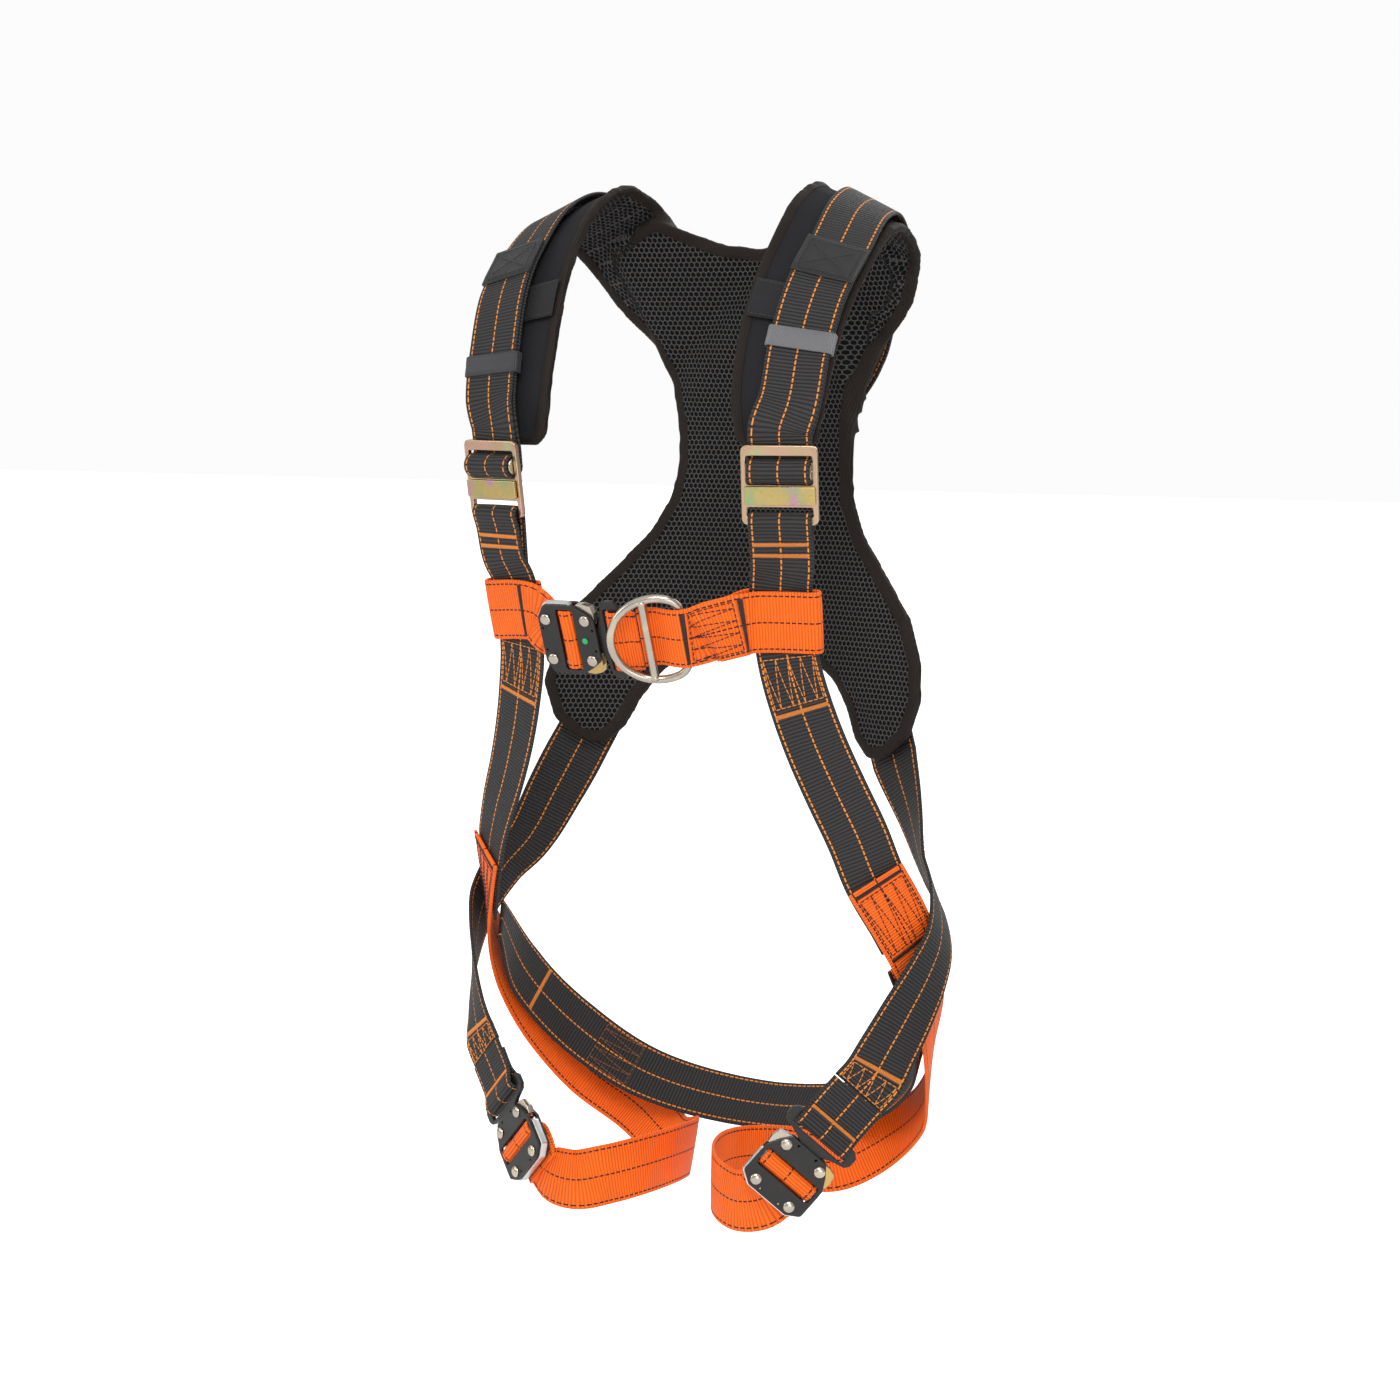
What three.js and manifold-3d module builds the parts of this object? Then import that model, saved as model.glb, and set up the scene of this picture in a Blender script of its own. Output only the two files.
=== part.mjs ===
// Full-body fall-arrest harness: padded back and shoulder yoke, black and orange webbing,
// two shoulder adjusters, one chest and two leg quick-release buckles, a chest ring and a dorsal ring.
// Millimetres. +Z up, the wearer faces -Y, +X is the wearer's left.
// The origin is the middle of the wearer's torso at chest-strap height.
import * as THREE from 'three';
import { mergeVertices } from 'three/addons/utils/BufferGeometryUtils.js';
import Module from 'manifold-3d';

const wasm = await Module();
wasm.setup();

// ---- driving dimensions --------------------------------------------------------------------------
const WEB_WIDTH = 45;
const WEB_THICK = 2.2;
const LAYER = 2.7;                 // pitch of two webbing layers lying on each other
const RING_STEP = 15;              // longest stretch between two sections of a strap

const PAD_THICK = 9;
const STRAP_LIFT = 7.5;            // middle of the shoulder webbing above the middle of the pad
const TAIL_LIFT = STRAP_LIFT + LAYER;
const HIP_LAYER = 4.2;             // pitch of the layers stacked where the straps cross at the hip
const FINE = 0.08;                 // shortest detail kept where the pad's parts are joined
const BAND_HEIGHT = 26;
const BAND_LOW = 200;              // height of the lower edge of the cross band sewn on each shoulder pad
const KEEPER_HEIGHT = 14;
const KEEPER_Z = { left: 186, right: 168 };

const PLATE_THICK = 2.4;           // side plates of a quick-release buckle
const PLATE_INNER = 2.8;           // distance of a side plate from the buckle's middle plane
const CORE_THICK = 5.2;
const RIVET_X = 16.5;
const RIVET_Y = 15.5;
const RIVET_SHAFT = 2.2;
const RIVET_HOLE = 2.5;
const RIVET_HEAD = 4.2;
const BAR_LOOP = 5.3;              // radius of the webbing's middle round the buckle's bar
const TONGUE_THICK = 3.4;
const TONGUE_BAR_X = 39;
const TONGUE_LOOP = 4.9;
const TONGUE_WEB_END = 76;         // where the tongue's own stretch of webbing meets its strap

const ADJUSTER_THICK = 4;
const ADJUSTER_HALF = { long: 28, wide: 27 };
const PIN_X = 9.5;
const PIN_RADIUS = 6;
const PIN_LOOP = 7.4;
const LOWER_BAR_X = -25;

const CHEST_RING_WIRE = 3.2;
const DORSAL_RING_WIRE = 3.8;

// ---- materials -----------------------------------------------------------------------------------
const finish = (color, roughness, metalness) =>
  new THREE.MeshStandardMaterial({ color, roughness, metalness });
const blackWeb = finish(0x2b2b2e, 0.85, 0);
const orangeWeb = finish(0xf0641a, 0.8, 0);
const padFabric = finish(0x222224, 0.95, 0);
const elastic = finish(0x8f8f92, 0.7, 0);
const zincPlate = finish(0xcdb596, 0.35, 0.9);
const brightSteel = finish(0xc4c2bd, 0.3, 1);
const blackPlate = finish(0x2c2827, 0.45, 0.6);
const brass = finish(0xb98f4c, 0.35, 0.9);
const greenPlastic = finish(0x2f9c5a, 0.5, 0);
const blackPlastic = finish(0x1f1f20, 0.5, 0);

// ---- the object's tree ---------------------------------------------------------------------------
const harness = new THREE.Group();

function addMesh(name, geometry, material, frame = new THREE.Matrix4()) {
  const mesh = new THREE.Mesh(geometry, material);
  mesh.name = name;
  mesh.applyMatrix4(frame);
  harness.add(mesh);
}

// A mirrored copy keeps its faces pointing out by turning every triangle round.
function mirrored(geometry, frame = new THREE.Matrix4()) {
  const copy = geometry.clone().applyMatrix4(frame).scale(-1, 1, 1);
  const order = copy.index.array;
  for (let i = 0; i < order.length; i += 3) {
    [order[i], order[i + 1]] = [order[i + 1], order[i]];
  }
  return copy;
}

function addPair(name, geometry, material, frame = new THREE.Matrix4()) {
  addMesh(`${name}_left`, geometry, material, frame);
  addMesh(`${name}_right`, mirrored(geometry, frame), material);
}

// ---- solids --------------------------------------------------------------------------------------
function toSolid(geometry) {
  const bare = geometry.clone();
  bare.deleteAttribute('normal');
  bare.deleteAttribute('uv');
  const merged = mergeVertices(bare, 1e-4);
  const vertProperties = new Float32Array(merged.attributes.position.array);
  const triVerts = new Uint32Array(merged.index.array);
  return new wasm.Manifold(new wasm.Mesh({ numProp: 3, vertProperties, triVerts }));
}

function toGeometry(solid) {
  const mesh = solid.getMesh();
  const geometry = new THREE.BufferGeometry();
  geometry.setAttribute('position', new THREE.BufferAttribute(new Float32Array(mesh.vertProperties), 3));
  geometry.setIndex(new THREE.BufferAttribute(new Uint32Array(mesh.triVerts), 1));
  return geometry;
}

const box = (x0, x1, y0, y1, z0, z1) =>
  new THREE.BoxGeometry(x1 - x0, y1 - y0, z1 - z0).translate((x0 + x1) / 2, (y0 + y1) / 2, (z0 + z1) / 2);

// A shape in the XY plane, extruded along Z from z0 to z1.
function slab(shape, z0, z1) {
  const settings = { depth: z1 - z0, bevelEnabled: false };
  return new THREE.ExtrudeGeometry(shape, settings).translate(0, 0, z0);
}

function outline(points) {
  return new THREE.Shape(points.map(([x, y]) => new THREE.Vector2(x, y)));
}

// An outline that is the same on both sides of the X axis, from its +Y half.
const evenOutline = (half) => outline([...half, ...half.map(([x, y]) => [x, -y]).reverse()]);

function roundedRect(x0, x1, y0, y1, radius, steps = 3) {
  const corners = [[x1 - radius, y0 + radius], [x1 - radius, y1 - radius], [x0 + radius, y1 - radius],
    [x0 + radius, y0 + radius]];
  return outline(corners.flatMap(([cx, cy], quarter) =>
    Array.from({ length: steps + 1 }, (_, i) => {
      const angle = ((quarter - 1 + i / steps) * Math.PI) / 2;
      return [cx + radius * Math.cos(angle), cy + radius * Math.sin(angle)];
    })));
}

// A round rod along Z, to join or to cut with.
function rod(x, y, radius, z0, z1, sides = 10) {
  const cylinder = new THREE.CylinderGeometry(radius, radius, z1 - z0, sides).rotateX(Math.PI / 2);
  return toSolid(cylinder.translate(x, y, (z0 + z1) / 2));
}

// Joins a row of equal rings of points into one closed body.
function loft(rings, closed = false) {
  const count = rings[0].length;
  const position = rings.flat().flatMap((p) => [p.x, p.y, p.z]);
  const index = [];
  const spans = closed ? rings.length : rings.length - 1;
  for (let i = 0; i < spans; i += 1) {
    const a = i * count;
    const b = ((i + 1) % rings.length) * count;
    for (let j = 0; j < count; j += 1) {
      const k = (j + 1) % count;
      index.push(a + j, b + j, b + k, a + j, b + k, a + k);
    }
  }
  if (!closed) {
    const end = (rings.length - 1) * count;
    for (let j = 1; j < count - 1; j += 1) {
      index.push(0, j, j + 1, end, end + j + 1, end + j);
    }
  }
  const geometry = new THREE.BufferGeometry();
  geometry.setAttribute('position', new THREE.BufferAttribute(new Float32Array(position), 3));
  geometry.setIndex(index);
  return facingOut(geometry);
}

function facingOut(geometry) {
  const p = geometry.attributes.position;
  const order = geometry.index.array;
  const corner = [new THREE.Vector3(), new THREE.Vector3(), new THREE.Vector3()];
  let volume = 0;
  for (let i = 0; i < order.length; i += 3) {
    corner.forEach((c, k) => c.fromBufferAttribute(p, order[i + k]));
    volume += corner[0].dot(corner[1].clone().cross(corner[2]));
  }
  if (volume < 0) {
    for (let i = 0; i < order.length; i += 3) {
      [order[i], order[i + 1]] = [order[i + 1], order[i]];
    }
  }
  return geometry;
}

// ---- places --------------------------------------------------------------------------------------
// A facing is an azimuth, 0 to the front and 90 to the wearer's left, and a pitch above level.
const radians = THREE.MathUtils.degToRad;

function facing(azimuth, pitch) {
  const a = radians(azimuth);
  const p = radians(pitch);
  return new THREE.Vector3(Math.sin(a) * Math.cos(p), -Math.cos(a) * Math.cos(p), Math.sin(p));
}

// A fitting's frame: local Z is its facing, local X is level and then turned by the roll.
function frameAt(x, y, z, azimuth, pitch, roll) {
  const out = facing(azimuth, pitch);
  const level = new THREE.Vector3(Math.cos(radians(azimuth)), Math.sin(radians(azimuth)), 0);
  const up = new THREE.Vector3().crossVectors(out, level);
  const along = level.clone().multiplyScalar(Math.cos(radians(roll)));
  along.addScaledVector(up, Math.sin(radians(roll)));
  const across = new THREE.Vector3().crossVectors(out, along);
  return new THREE.Matrix4().makeBasis(along, across, out).setPosition(x, y, z);
}

// A station is a point of a strap's middle line with the direction its face looks in.
const station = (x, y, z, azimuth, pitch, width = WEB_WIDTH) =>
  ({ point: new THREE.Vector3(x, y, z), face: facing(azimuth, pitch), width, thick: WEB_THICK });

// The same inside a fitting's frame, in its XZ plane, with the face turned from +X by an angle.
function stationIn(frame, x, z, angle) {
  const face = new THREE.Vector3(Math.cos(radians(angle)), 0, Math.sin(radians(angle)));
  return {
    point: new THREE.Vector3(x, 0, z).applyMatrix4(frame),
    face: face.transformDirection(frame),
    width: WEB_WIDTH,
    thick: WEB_THICK,
  };
}

// Webbing round a bar: stations on an arc in the frame's XZ plane. inward turns the face to the bar.
function roundBar(frame, x, z, radius, from, to, steps, inward) {
  return Array.from({ length: steps + 1 }, (_, i) => {
    const angle = from + ((to - from) * i) / steps;
    const px = x + radius * Math.cos(radians(angle));
    const pz = z + radius * Math.sin(radians(angle));
    return stationIn(frame, px, pz, inward ? angle + 180 : angle);
  });
}

// A station moved off the strap's own surface, and sideways along its width.
function lifted(base, height, direction) {
  const point = base.point.clone().addScaledVector(base.face, height);
  if (direction) point.add(direction);
  return { ...base, point };
}

// ---- straps --------------------------------------------------------------------------------------
// Sections along the smooth line through the stations, each with its point, face and width direction.
function sectionsAlong(stations, step = RING_STEP) {
  const curve = new THREE.CatmullRomCurve3(stations.map((s) => s.point), false, 'centripetal');
  const spans = stations.length - 1;
  const sections = [];
  for (let i = 0; i < spans; i += 1) {
    const a = stations[i];
    const b = stations[i + 1];
    const parts = Math.max(1, Math.ceil(a.point.distanceTo(b.point) / step));
    for (let k = 0; k < parts + (i === spans - 1 ? 1 : 0); k += 1) {
      const t = k / parts;
      const tangent = curve.getTangent((i + t) / spans);
      const face = a.face.clone().lerp(b.face, t);
      face.addScaledVector(tangent, -face.dot(tangent)).normalize();
      sections.push({
        point: curve.getPoint((i + t) / spans),
        face,
        side: new THREE.Vector3().crossVectors(face, tangent).normalize(),
        width: THREE.MathUtils.lerp(a.width, b.width, t),
        thick: THREE.MathUtils.lerp(a.thick, b.thick, t),
      });
    }
  }
  return sections;
}

const flatCorners = (width, thick) =>
  [[-1, -1], [1, -1], [1, 1], [-1, 1]].map(([u, v]) => [(u * width) / 2, (v * thick) / 2]);

function paddedCorners(width, thick) {
  const edge = width / 2;
  const quarter = [[edge - thick * 0.45, thick / 2], [edge, thick / 6]];
  const upper = [...quarter.map(([u, v]) => [-u, v]), ...quarter.slice().reverse()];
  return [...upper, ...upper.map(([u, v]) => [-u, -v])];
}

function ribbon(stations, corners = flatCorners, step = RING_STEP) {
  const rings = sectionsAlong(stations, step).map((s) =>
    corners(s.width, s.thick).map(([u, v]) =>
      s.point.clone().addScaledVector(s.side, u).addScaledVector(s.face, v)));
  return loft(rings);
}

// ---- frames of the fittings ----------------------------------------------------------------------
const adjusterFrame = frameAt(115, -99, 92, 16, -8, 90);
const legBuckleFrame = frameAt(110, -74, -399, 28, 0, 49);
const chestBuckleFrame = frameAt(-50, -100, -20, -3, -20, 0);
const chestRingFrame = frameAt(16, -108, -19, 24, -20, 8);
const chestLoopFrame = frameAt(108, -79, -4, 15, -13, 0);
const dorsalLean = -10;             // the plate leans with the back, and the ring hangs straight down
const dorsalFrame = frameAt(0, 124.4, 95, 180, dorsalLean, 0);

// ---- back pad with shoulder yokes ----------------------------------------------------------------
// Depth of the pad's middle surface behind the origin: it follows the wearer's back.
const BACK_DEPTH = 96;
const BACK_LEAN = 0.18;
const BACK_WRAP = 0.0016;
const BACK_BEND = { from: 170, rate: 0.006 };

function backDepth(x, z) {
  const bend = Math.max(0, z - BACK_BEND.from) ** 2 * BACK_BEND.rate;
  return BACK_DEPTH + BACK_LEAN * z - BACK_WRAP * x * x - bend;
}

// A station on the back panel, lifted off its outer surface.
function onBack(x, z, height) {
  const slope = THREE.MathUtils.radToDeg(Math.atan(2 * BACK_WRAP * x));
  const lean = -THREE.MathUtils.radToDeg(Math.atan(BACK_LEAN));
  return lifted(station(x, backDepth(x, z), z, 180 - slope, lean), height);
}

function backPanel() {
  const half = [
    [258, 0], [262, 30], [272, 54], [282, 74], [262, 112], [238, 126], [212, 111], [186, 94], [158, 82],
    [128, 75], [98, 72], [72, 76], [46, 89], [18, 113], [-12, 140], [-42, 154], [-70, 157], [-96, 148],
    [-112, 130], [-115, 112], [-102, 98], [-80, 88], [-58, 72], [-40, 42], [-34, 0],
  ];
  const shape = new THREE.Shape();
  half.forEach(([z, x], i) => (i === 0 ? shape.moveTo(x, z) : shape.lineTo(x, z)));
  half.slice(1, -1).reverse().forEach(([z, x]) => shape.lineTo(-x, z));
  const panel = slab(shape, -PAD_THICK / 2, PAD_THICK / 2);
  const p = panel.attributes.position;
  for (let i = 0; i < p.count; i += 1) {
    const [x, z, depth] = [p.getX(i), p.getY(i), p.getZ(i)];
    p.setXYZ(i, x, backDepth(x, z) + depth, z);
  }
  panel.deleteAttribute('normal');
  panel.deleteAttribute('uv');
  return facingOut(mergeVertices(panel, 1e-4));
}

// Middle of the left shoulder pad, from its lower front end over the shoulder into the back panel.
const shoulderSpine = [
  [107, -87, 116, 8, -4, 44], [107, -87.5, 124, 8, -2, 62], [107, -86, 150, 10, 4, 70],
  [108, -76, 185, 11, 11, 73], [111, -58, 222, 14, 22, 75], [114, -28, 257, 22, 38, 77],
  [114, 6, 281, 50, 61, 79], [111, 42, 286, 112, 62, 80], [104, 76, 267, 155, 42, 82],
  [90, 99, 235, 168, 20, 78], [70, 113, 200, 172, 2, 60],
].map((row, i) => ({ ...station(...row), thick: i < 10 ? PAD_THICK : PAD_THICK - 4 }));

function shoulderPad() {
  return ribbon(shoulderSpine, paddedCorners, 20);
}

function backPad() {
  const left = shoulderPad();
  const joined = toSolid(backPanel()).add(toSolid(left)).add(toSolid(mirrored(left)));
  const shells = joined.decompose().sort((a, b) => b.volume() - a.volume());
  return toGeometry(shells[0].simplify(FINE));
}

addMesh('back_pad', backPad(), padFabric);

// ---- shoulder webbing ----------------------------------------------------------------------------
// How far towards the wearer's side the webbing lies from the middle of the pad, at each spine row.
const STRAP_SIDE = [8, 9, 12, 13, 13, 12, 9, 6, 4, 0];
const SHOULDER_FALL = -0.42;       // the shoulder falls by this much per millimetre outwards

function strapOnPad(first, last, height) {
  const rows = [];
  for (let i = first; i <= last; i += 1) {
    const base = shoulderSpine[i];
    const drop = i > 4 && i < 9 ? SHOULDER_FALL : 0;
    const aside = new THREE.Vector3(1, 0, drop).multiplyScalar(STRAP_SIDE[i]);
    rows.push({ ...lifted(base, height, aside), width: WEB_WIDTH, thick: WEB_THICK });
  }
  return rows;
}

function tailOnPad(adjuster) {
  const onPad = strapOnPad(2, 5, TAIL_LIFT)
    .map((s, i) => (i < 3 ? s : { ...lifted(s, WEB_THICK / 2), thick: 2 * WEB_THICK }))
    .map((s) => ({ ...s, face: s.face.clone().negate() }));
  const underTopBar = roundBar(adjuster, 19.9, -1, 3, 180, 270, 3, false);
  return [...underTopBar, stationIn(adjuster, 28, -4.1, -90), stationIn(adjuster, 38, -4, -90), ...onPad];
}

function shoulderStrap() {
  const overBack = [
    onBack(25, 122, STRAP_LIFT), onBack(48, 152, STRAP_LIFT), onBack(70, 184, STRAP_LIFT),
  ];
  const main = strapOnPad(2, 9, STRAP_LIFT).reverse();
  const behind = [stationIn(adjusterFrame, 34, -6.7, 90), stationIn(adjusterFrame, 22, -7.6, 90)];
  const roll = roundBar(adjusterFrame, PIN_X, 0, PIN_LOOP, -80, -350, 9, false);
  return ribbon([
    ...overBack, ...main, ...behind, ...roll.map((s) => ({ ...s, face: s.face.clone().negate() })),
    ...tailOnPad(adjusterFrame),
  ]);
}

addPair('shoulder_strap', shoulderStrap(), blackWeb);

function padBand() {
  const under = sectionsAlong(shoulderSpine.slice(2, 7), 5)
    .filter((s) => s.point.z > BAND_LOW && s.point.z < BAND_LOW + BAND_HEIGHT);
  return ribbon(under.map((s) => ({ ...lifted(s, PAD_THICK / 2 + 0.8), width: s.width - 8, thick: 0.9 })));
}

// A band wrapped once round both layers of the shoulder webbing.
function elasticKeeper(height) {
  const middle = sectionsAlong(strapOnPad(2, 6, 0), 4).find((s) => s.point.z > height);
  const along = new THREE.Vector3().crossVectors(middle.face, middle.side);
  const frame = new THREE.Matrix4().makeBasis(middle.side, along, middle.face).setPosition(middle.point);
  const inner = WEB_WIDTH / 2 + 1;
  const low = PAD_THICK / 2 + 0.3;
  const high = TAIL_LIFT + WEB_THICK / 2 + 1.5;
  const wall = 0.8;
  const tube = toSolid(box(-inner - wall, inner + wall, -KEEPER_HEIGHT / 2, KEEPER_HEIGHT / 2, low, high));
  const inside = toSolid(box(-inner, inner, -KEEPER_HEIGHT, KEEPER_HEIGHT, low + wall, high - wall));
  return toGeometry(tube.subtract(inside)).applyMatrix4(frame);
}

addMesh('elastic_keeper_left', elasticKeeper(KEEPER_Z.left), elastic);
addMesh('elastic_keeper_right', mirrored(elasticKeeper(KEEPER_Z.right)), elastic);

// ---- shoulder adjuster ---------------------------------------------------------------------------
// Local X runs up the strap, Y across it and Z away from the wearer.
const JOURNAL = { radius: 1.2, hole: 1.35 };

function adjusterPlate() {
  const { long, wide } = ADJUSTER_HALF;
  const plate = toSolid(slab(roundedRect(-long, long, -wide, wide, 4), -ADJUSTER_THICK / 2, ADJUSTER_THICK / 2));
  const windows = [roundedRect(0.5, 20.5, -23.3, 23.3, 1.5), roundedRect(-22, -15.5, -23.3, 23.3, 1.5)]
    .map((shape) => toSolid(slab(shape, -ADJUSTER_THICK, ADJUSTER_THICK)));
  const bore = new THREE.CylinderGeometry(JOURNAL.hole, JOURNAL.hole, 2 * wide - 2, 12).translate(PIN_X, 0, 0);
  return toGeometry(plate.subtract(windows[0]).subtract(windows[1]).subtract(toSolid(bore)));
}

function adjusterPin() {
  const end = ADJUSTER_HALF.wide - 1.5;
  const profile = [[0, -end], [JOURNAL.radius, -end], [JOURNAL.radius, -22.9], [PIN_RADIUS, -22.9],
    [PIN_RADIUS, 22.9], [JOURNAL.radius, 22.9], [JOURNAL.radius, end], [0, end]];
  const points = profile.map(([r, y]) => new THREE.Vector2(r, y));
  return toGeometry(toSolid(new THREE.LatheGeometry(points, 12).translate(PIN_X, 0, 0)));
}

function adjusterSlide() {
  return toGeometry(toSolid(slab(roundedRect(-13.5, -0.5, -25.6, 24.6, 1), 2.4, 4.6)));
}

addPair('adjuster_frame', adjusterPlate(), zincPlate, adjusterFrame);
addPair('adjuster_pin', adjusterPin(), brightSteel, adjusterFrame);
addPair('adjuster_slide', adjusterSlide(), zincPlate, adjusterFrame);

// ---- front, leg, back and seat webbing -----------------------------------------------------------
// Left side of each pair. The hip crossing stacks seat, front, leg and back webbing from the inside out.
const hipFront = station(159, -36, -188, 38, -6);
const hipMiddle = station(168.5, -19, -218, 50, -5);
const hipRear = station(175, -3, -248, 65, -5);

function frontStrap() {
  const tail = [stationIn(adjusterFrame, -62, -3, -90), stationIn(adjusterFrame, -34, -4.6, -90)];
  const roll = roundBar(adjusterFrame, LOWER_BAR_X, 0, 4.9, -90, 90, 6, false);
  const down = [
    stationIn(adjusterFrame, -36, 2.6, 90), stationIn(adjusterFrame, -58, 0.1, 90),
    station(108.5, -84, 18, 15, -13), station(108, -79, -4, 15, -13),
    station(109, -72, -34, 16, -12), station(115, -65.5, -64, 19, -10), station(124, -58, -95, 23, -9),
    station(136, -50, -127, 28, -8), station(149, -43, -158, 33, -7),
  ];
  return ribbon([...tail, ...roll, ...down, hipFront, hipMiddle, station(172.4, -11, -233, 57, -5)]);
}

addPair('front_strap', frontStrap(), blackWeb);

// Webbing that comes in behind a buckle, goes round its bar and is folded back on itself.
function barLoop(frame) {
  return [
    stationIn(frame, -26, -10.8, 90), stationIn(frame, -9, -10.8, 90), stationIn(frame, 0, -9.6, 100),
    ...roundBar(frame, 0, 0, BAR_LOOP, -35, 205, 9, true),
    stationIn(frame, -6.2, -5.6, -30), stationIn(frame, -9.4, -7.9, -75), stationIn(frame, -14, -8.2, -90),
    stationIn(frame, -34, -8.1, -90),
  ];
}

function legStrap() {
  const overHip = [hipFront, hipMiddle, hipRear].map((s) => lifted(s, HIP_LAYER));
  const round = [
    station(178, 22, -290, 92, -8), station(165, 50, -334, 118, -16), station(143, 84, -378, 146, -25),
    station(110, 102, -406, 172, -27), station(68, 88, -429, 208, -18), station(36, 57, -421, 240, -10),
    station(21, 10, -415, 268, -4), station(28, -32, -416, 296, 0), station(46, -60, -420, 325, 0),
    station(68, -71, -424, 348, 0),
  ];
  return ribbon([...overHip, ...round, ...barLoop(legBuckleFrame)]);
}

addPair('leg_strap', legStrap(), orangeWeb);

function backStrap() {
  const overPad = [onBack(25, 68, STRAP_LIFT), onBack(56, 20, STRAP_LIFT), onBack(88, -30, STRAP_LIFT),
    onBack(112, -72, STRAP_LIFT)];
  const aside = [
    station(132, 56, -114, 160, -8), station(149, 46, -150, 136, -4), station(166, 33, -188, 114, 0),
    station(182, 22, -210, 98, -3), station(191.3, 6, -236, 85, -4), station(189, -9, -259, 71, -2),
    station(181, -26, -286, 55, 0), station(171, -39, -312, 42, 0),
  ];
  const toTongue = [TONGUE_WEB_END + 16, TONGUE_WEB_END + 1].map((x) => stationIn(legBuckleFrame, x, 0, 90));
  return ribbon([...overPad, ...aside, ...toTongue]);
}

addPair('back_strap', backStrap(), blackWeb);

function seatStrap() {
  const left = [
    lifted(hipRear, -HIP_LAYER), station(168, 30, -294, 104, -16), station(145, 70, -342, 138, -32),
    station(96, 98, -380, 163, -44),
  ];
  const right = left.map((s) => {
    const flip = new THREE.Vector3(-1, 1, 1);
    return { ...s, point: s.point.clone().multiply(flip), face: s.face.clone().multiply(flip) };
  }).reverse();
  return ribbon([...left, station(0, 112, -397, 180, -50), ...right]);
}

addMesh('seat_strap', seatStrap(), blackWeb);

// ---- chest webbing -------------------------------------------------------------------------------
const LOOP_GAP = 3.9;              // from the middle of a front strap to the middle of the loop's layers

// A flat loop round a front strap, from the front layer at local x = from to the rear layer at x = to.
function strapLoop(frame, from, to) {
  const half = WEB_WIDTH / 2 + 0.6;
  return [
    stationIn(frame, from, LOOP_GAP, 90), stationIn(frame, half - 2, LOOP_GAP, 90),
    ...roundBar(frame, half, 0, LOOP_GAP, 90, -90, 4, false),
    stationIn(frame, half - 2, -LOOP_GAP, -90), stationIn(frame, to, -LOOP_GAP, -90),
  ];
}

function chestStrapLeft() {
  const front = [
    stationIn(chestRingFrame, -5.5, -5.6, 92), stationIn(chestRingFrame, 6, -5.4, 90),
    stationIn(chestRingFrame, 16.5, 1.6, 100),
    stationIn(chestRingFrame, 25.5, 5.2, 86), stationIn(chestRingFrame, 36, 2.6, 82),
    station(62, -101, -12.5, 9, -17), station(84, -95, -6.5, 12, -13),
  ];
  const rear = [lifted(station(80, -96.2, -7.5, 11, -14), -LAYER), lifted(station(60, -101.5, -13, 9, -17), -LAYER)]
    .map((s) => ({ ...s, face: s.face.clone().negate() }));
  return ribbon([...front, ...strapLoop(chestLoopFrame, -18, -24), ...rear]);
}

addMesh('chest_strap_left', chestStrapLeft(), orangeWeb);

function chestStrapRight() {
  const flip = new THREE.Vector3(-1, 1, 1);
  const loop = strapLoop(chestLoopFrame, -21, -24).reverse().map((s) => ({
    ...s, point: s.point.clone().multiply(flip), face: s.face.clone().multiply(flip),
  }));
  return ribbon([...loop, ...barLoop(chestBuckleFrame)]);
}

addMesh('chest_strap_right', chestStrapRight(), orangeWeb);

// ---- quick-release buckles -----------------------------------------------------------------------
// Local X runs from the webbing bar to the tongue, Y across the webbing and Z away from the wearer.
const plateHalf = [[-23, 17], [-17, 26.5], [7, 26.5], [16, 21.5], [24, 15.5]];

function buckleSidePlate(z0, z1) {
  let plate = toSolid(slab(evenOutline(plateHalf), z0, z1));
  const slot = z0 > 0 ? roundedRect(-7, 7, -23.3, 23.3, 2) : roundedRect(-10.5, 8, -23.3, 23.3, 2);
  plate = plate.subtract(toSolid(slab(slot, z0 - 1, z1 + 1)));
  for (const x of [-RIVET_X, RIVET_X]) {
    for (const y of [-RIVET_Y, RIVET_Y]) {
      plate = plate.subtract(rod(x, y, RIVET_HOLE, z0 - 1, z1 + 1));
    }
  }
  return toGeometry(plate);
}

function buckleCore() {
  const half = CORE_THICK / 2;
  let core = toSolid(slab(evenOutline([[-22, 16.5], [-16.5, 25.5], [3, 25.5]]), -half, half));
  core = core.subtract(toSolid(slab(roundedRect(-10, -3, -23.3, 23.3, 1), -CORE_THICK, CORE_THICK)));
  for (const y of [-RIVET_Y, RIVET_Y]) {
    core = core.subtract(rod(-RIVET_X, y, RIVET_HOLE, -CORE_THICK, CORE_THICK));
  }
  return toGeometry(core);
}

// The catch on the +Y side. It turns on the tongue-side rivet: its tab goes in, its nose goes out.
function bucklePawl() {
  const half = CORE_THICK / 2;
  const shape = outline([[7.5, 22], [8.5, 26.6], [15, 27.2], [21.5, 25.5], [23, 20], [23, 12], [19, 10.4],
    [14, 11.2], [12, 16]]);
  const pawl = toSolid(slab(shape, -half, half));
  return pawl.subtract(rod(RIVET_X, RIVET_Y, RIVET_HOLE, -CORE_THICK, CORE_THICK));
}

function buckleTongue() {
  const shape = evenOutline([[8, 8], [10, 9.6], [16, 9.6], [17.5, 8], [23, 8], [27, 16], [29.5, 27],
    [33, 29.8], [40, 29.8], [43.5, 26]]);
  const slot = toSolid(slab(roundedRect(30.8, 36, -23.6, 23.6, 1), -TONGUE_THICK, TONGUE_THICK));
  return toGeometry(toSolid(slab(shape, -TONGUE_THICK / 2, TONGUE_THICK / 2)).subtract(slot));
}

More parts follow.
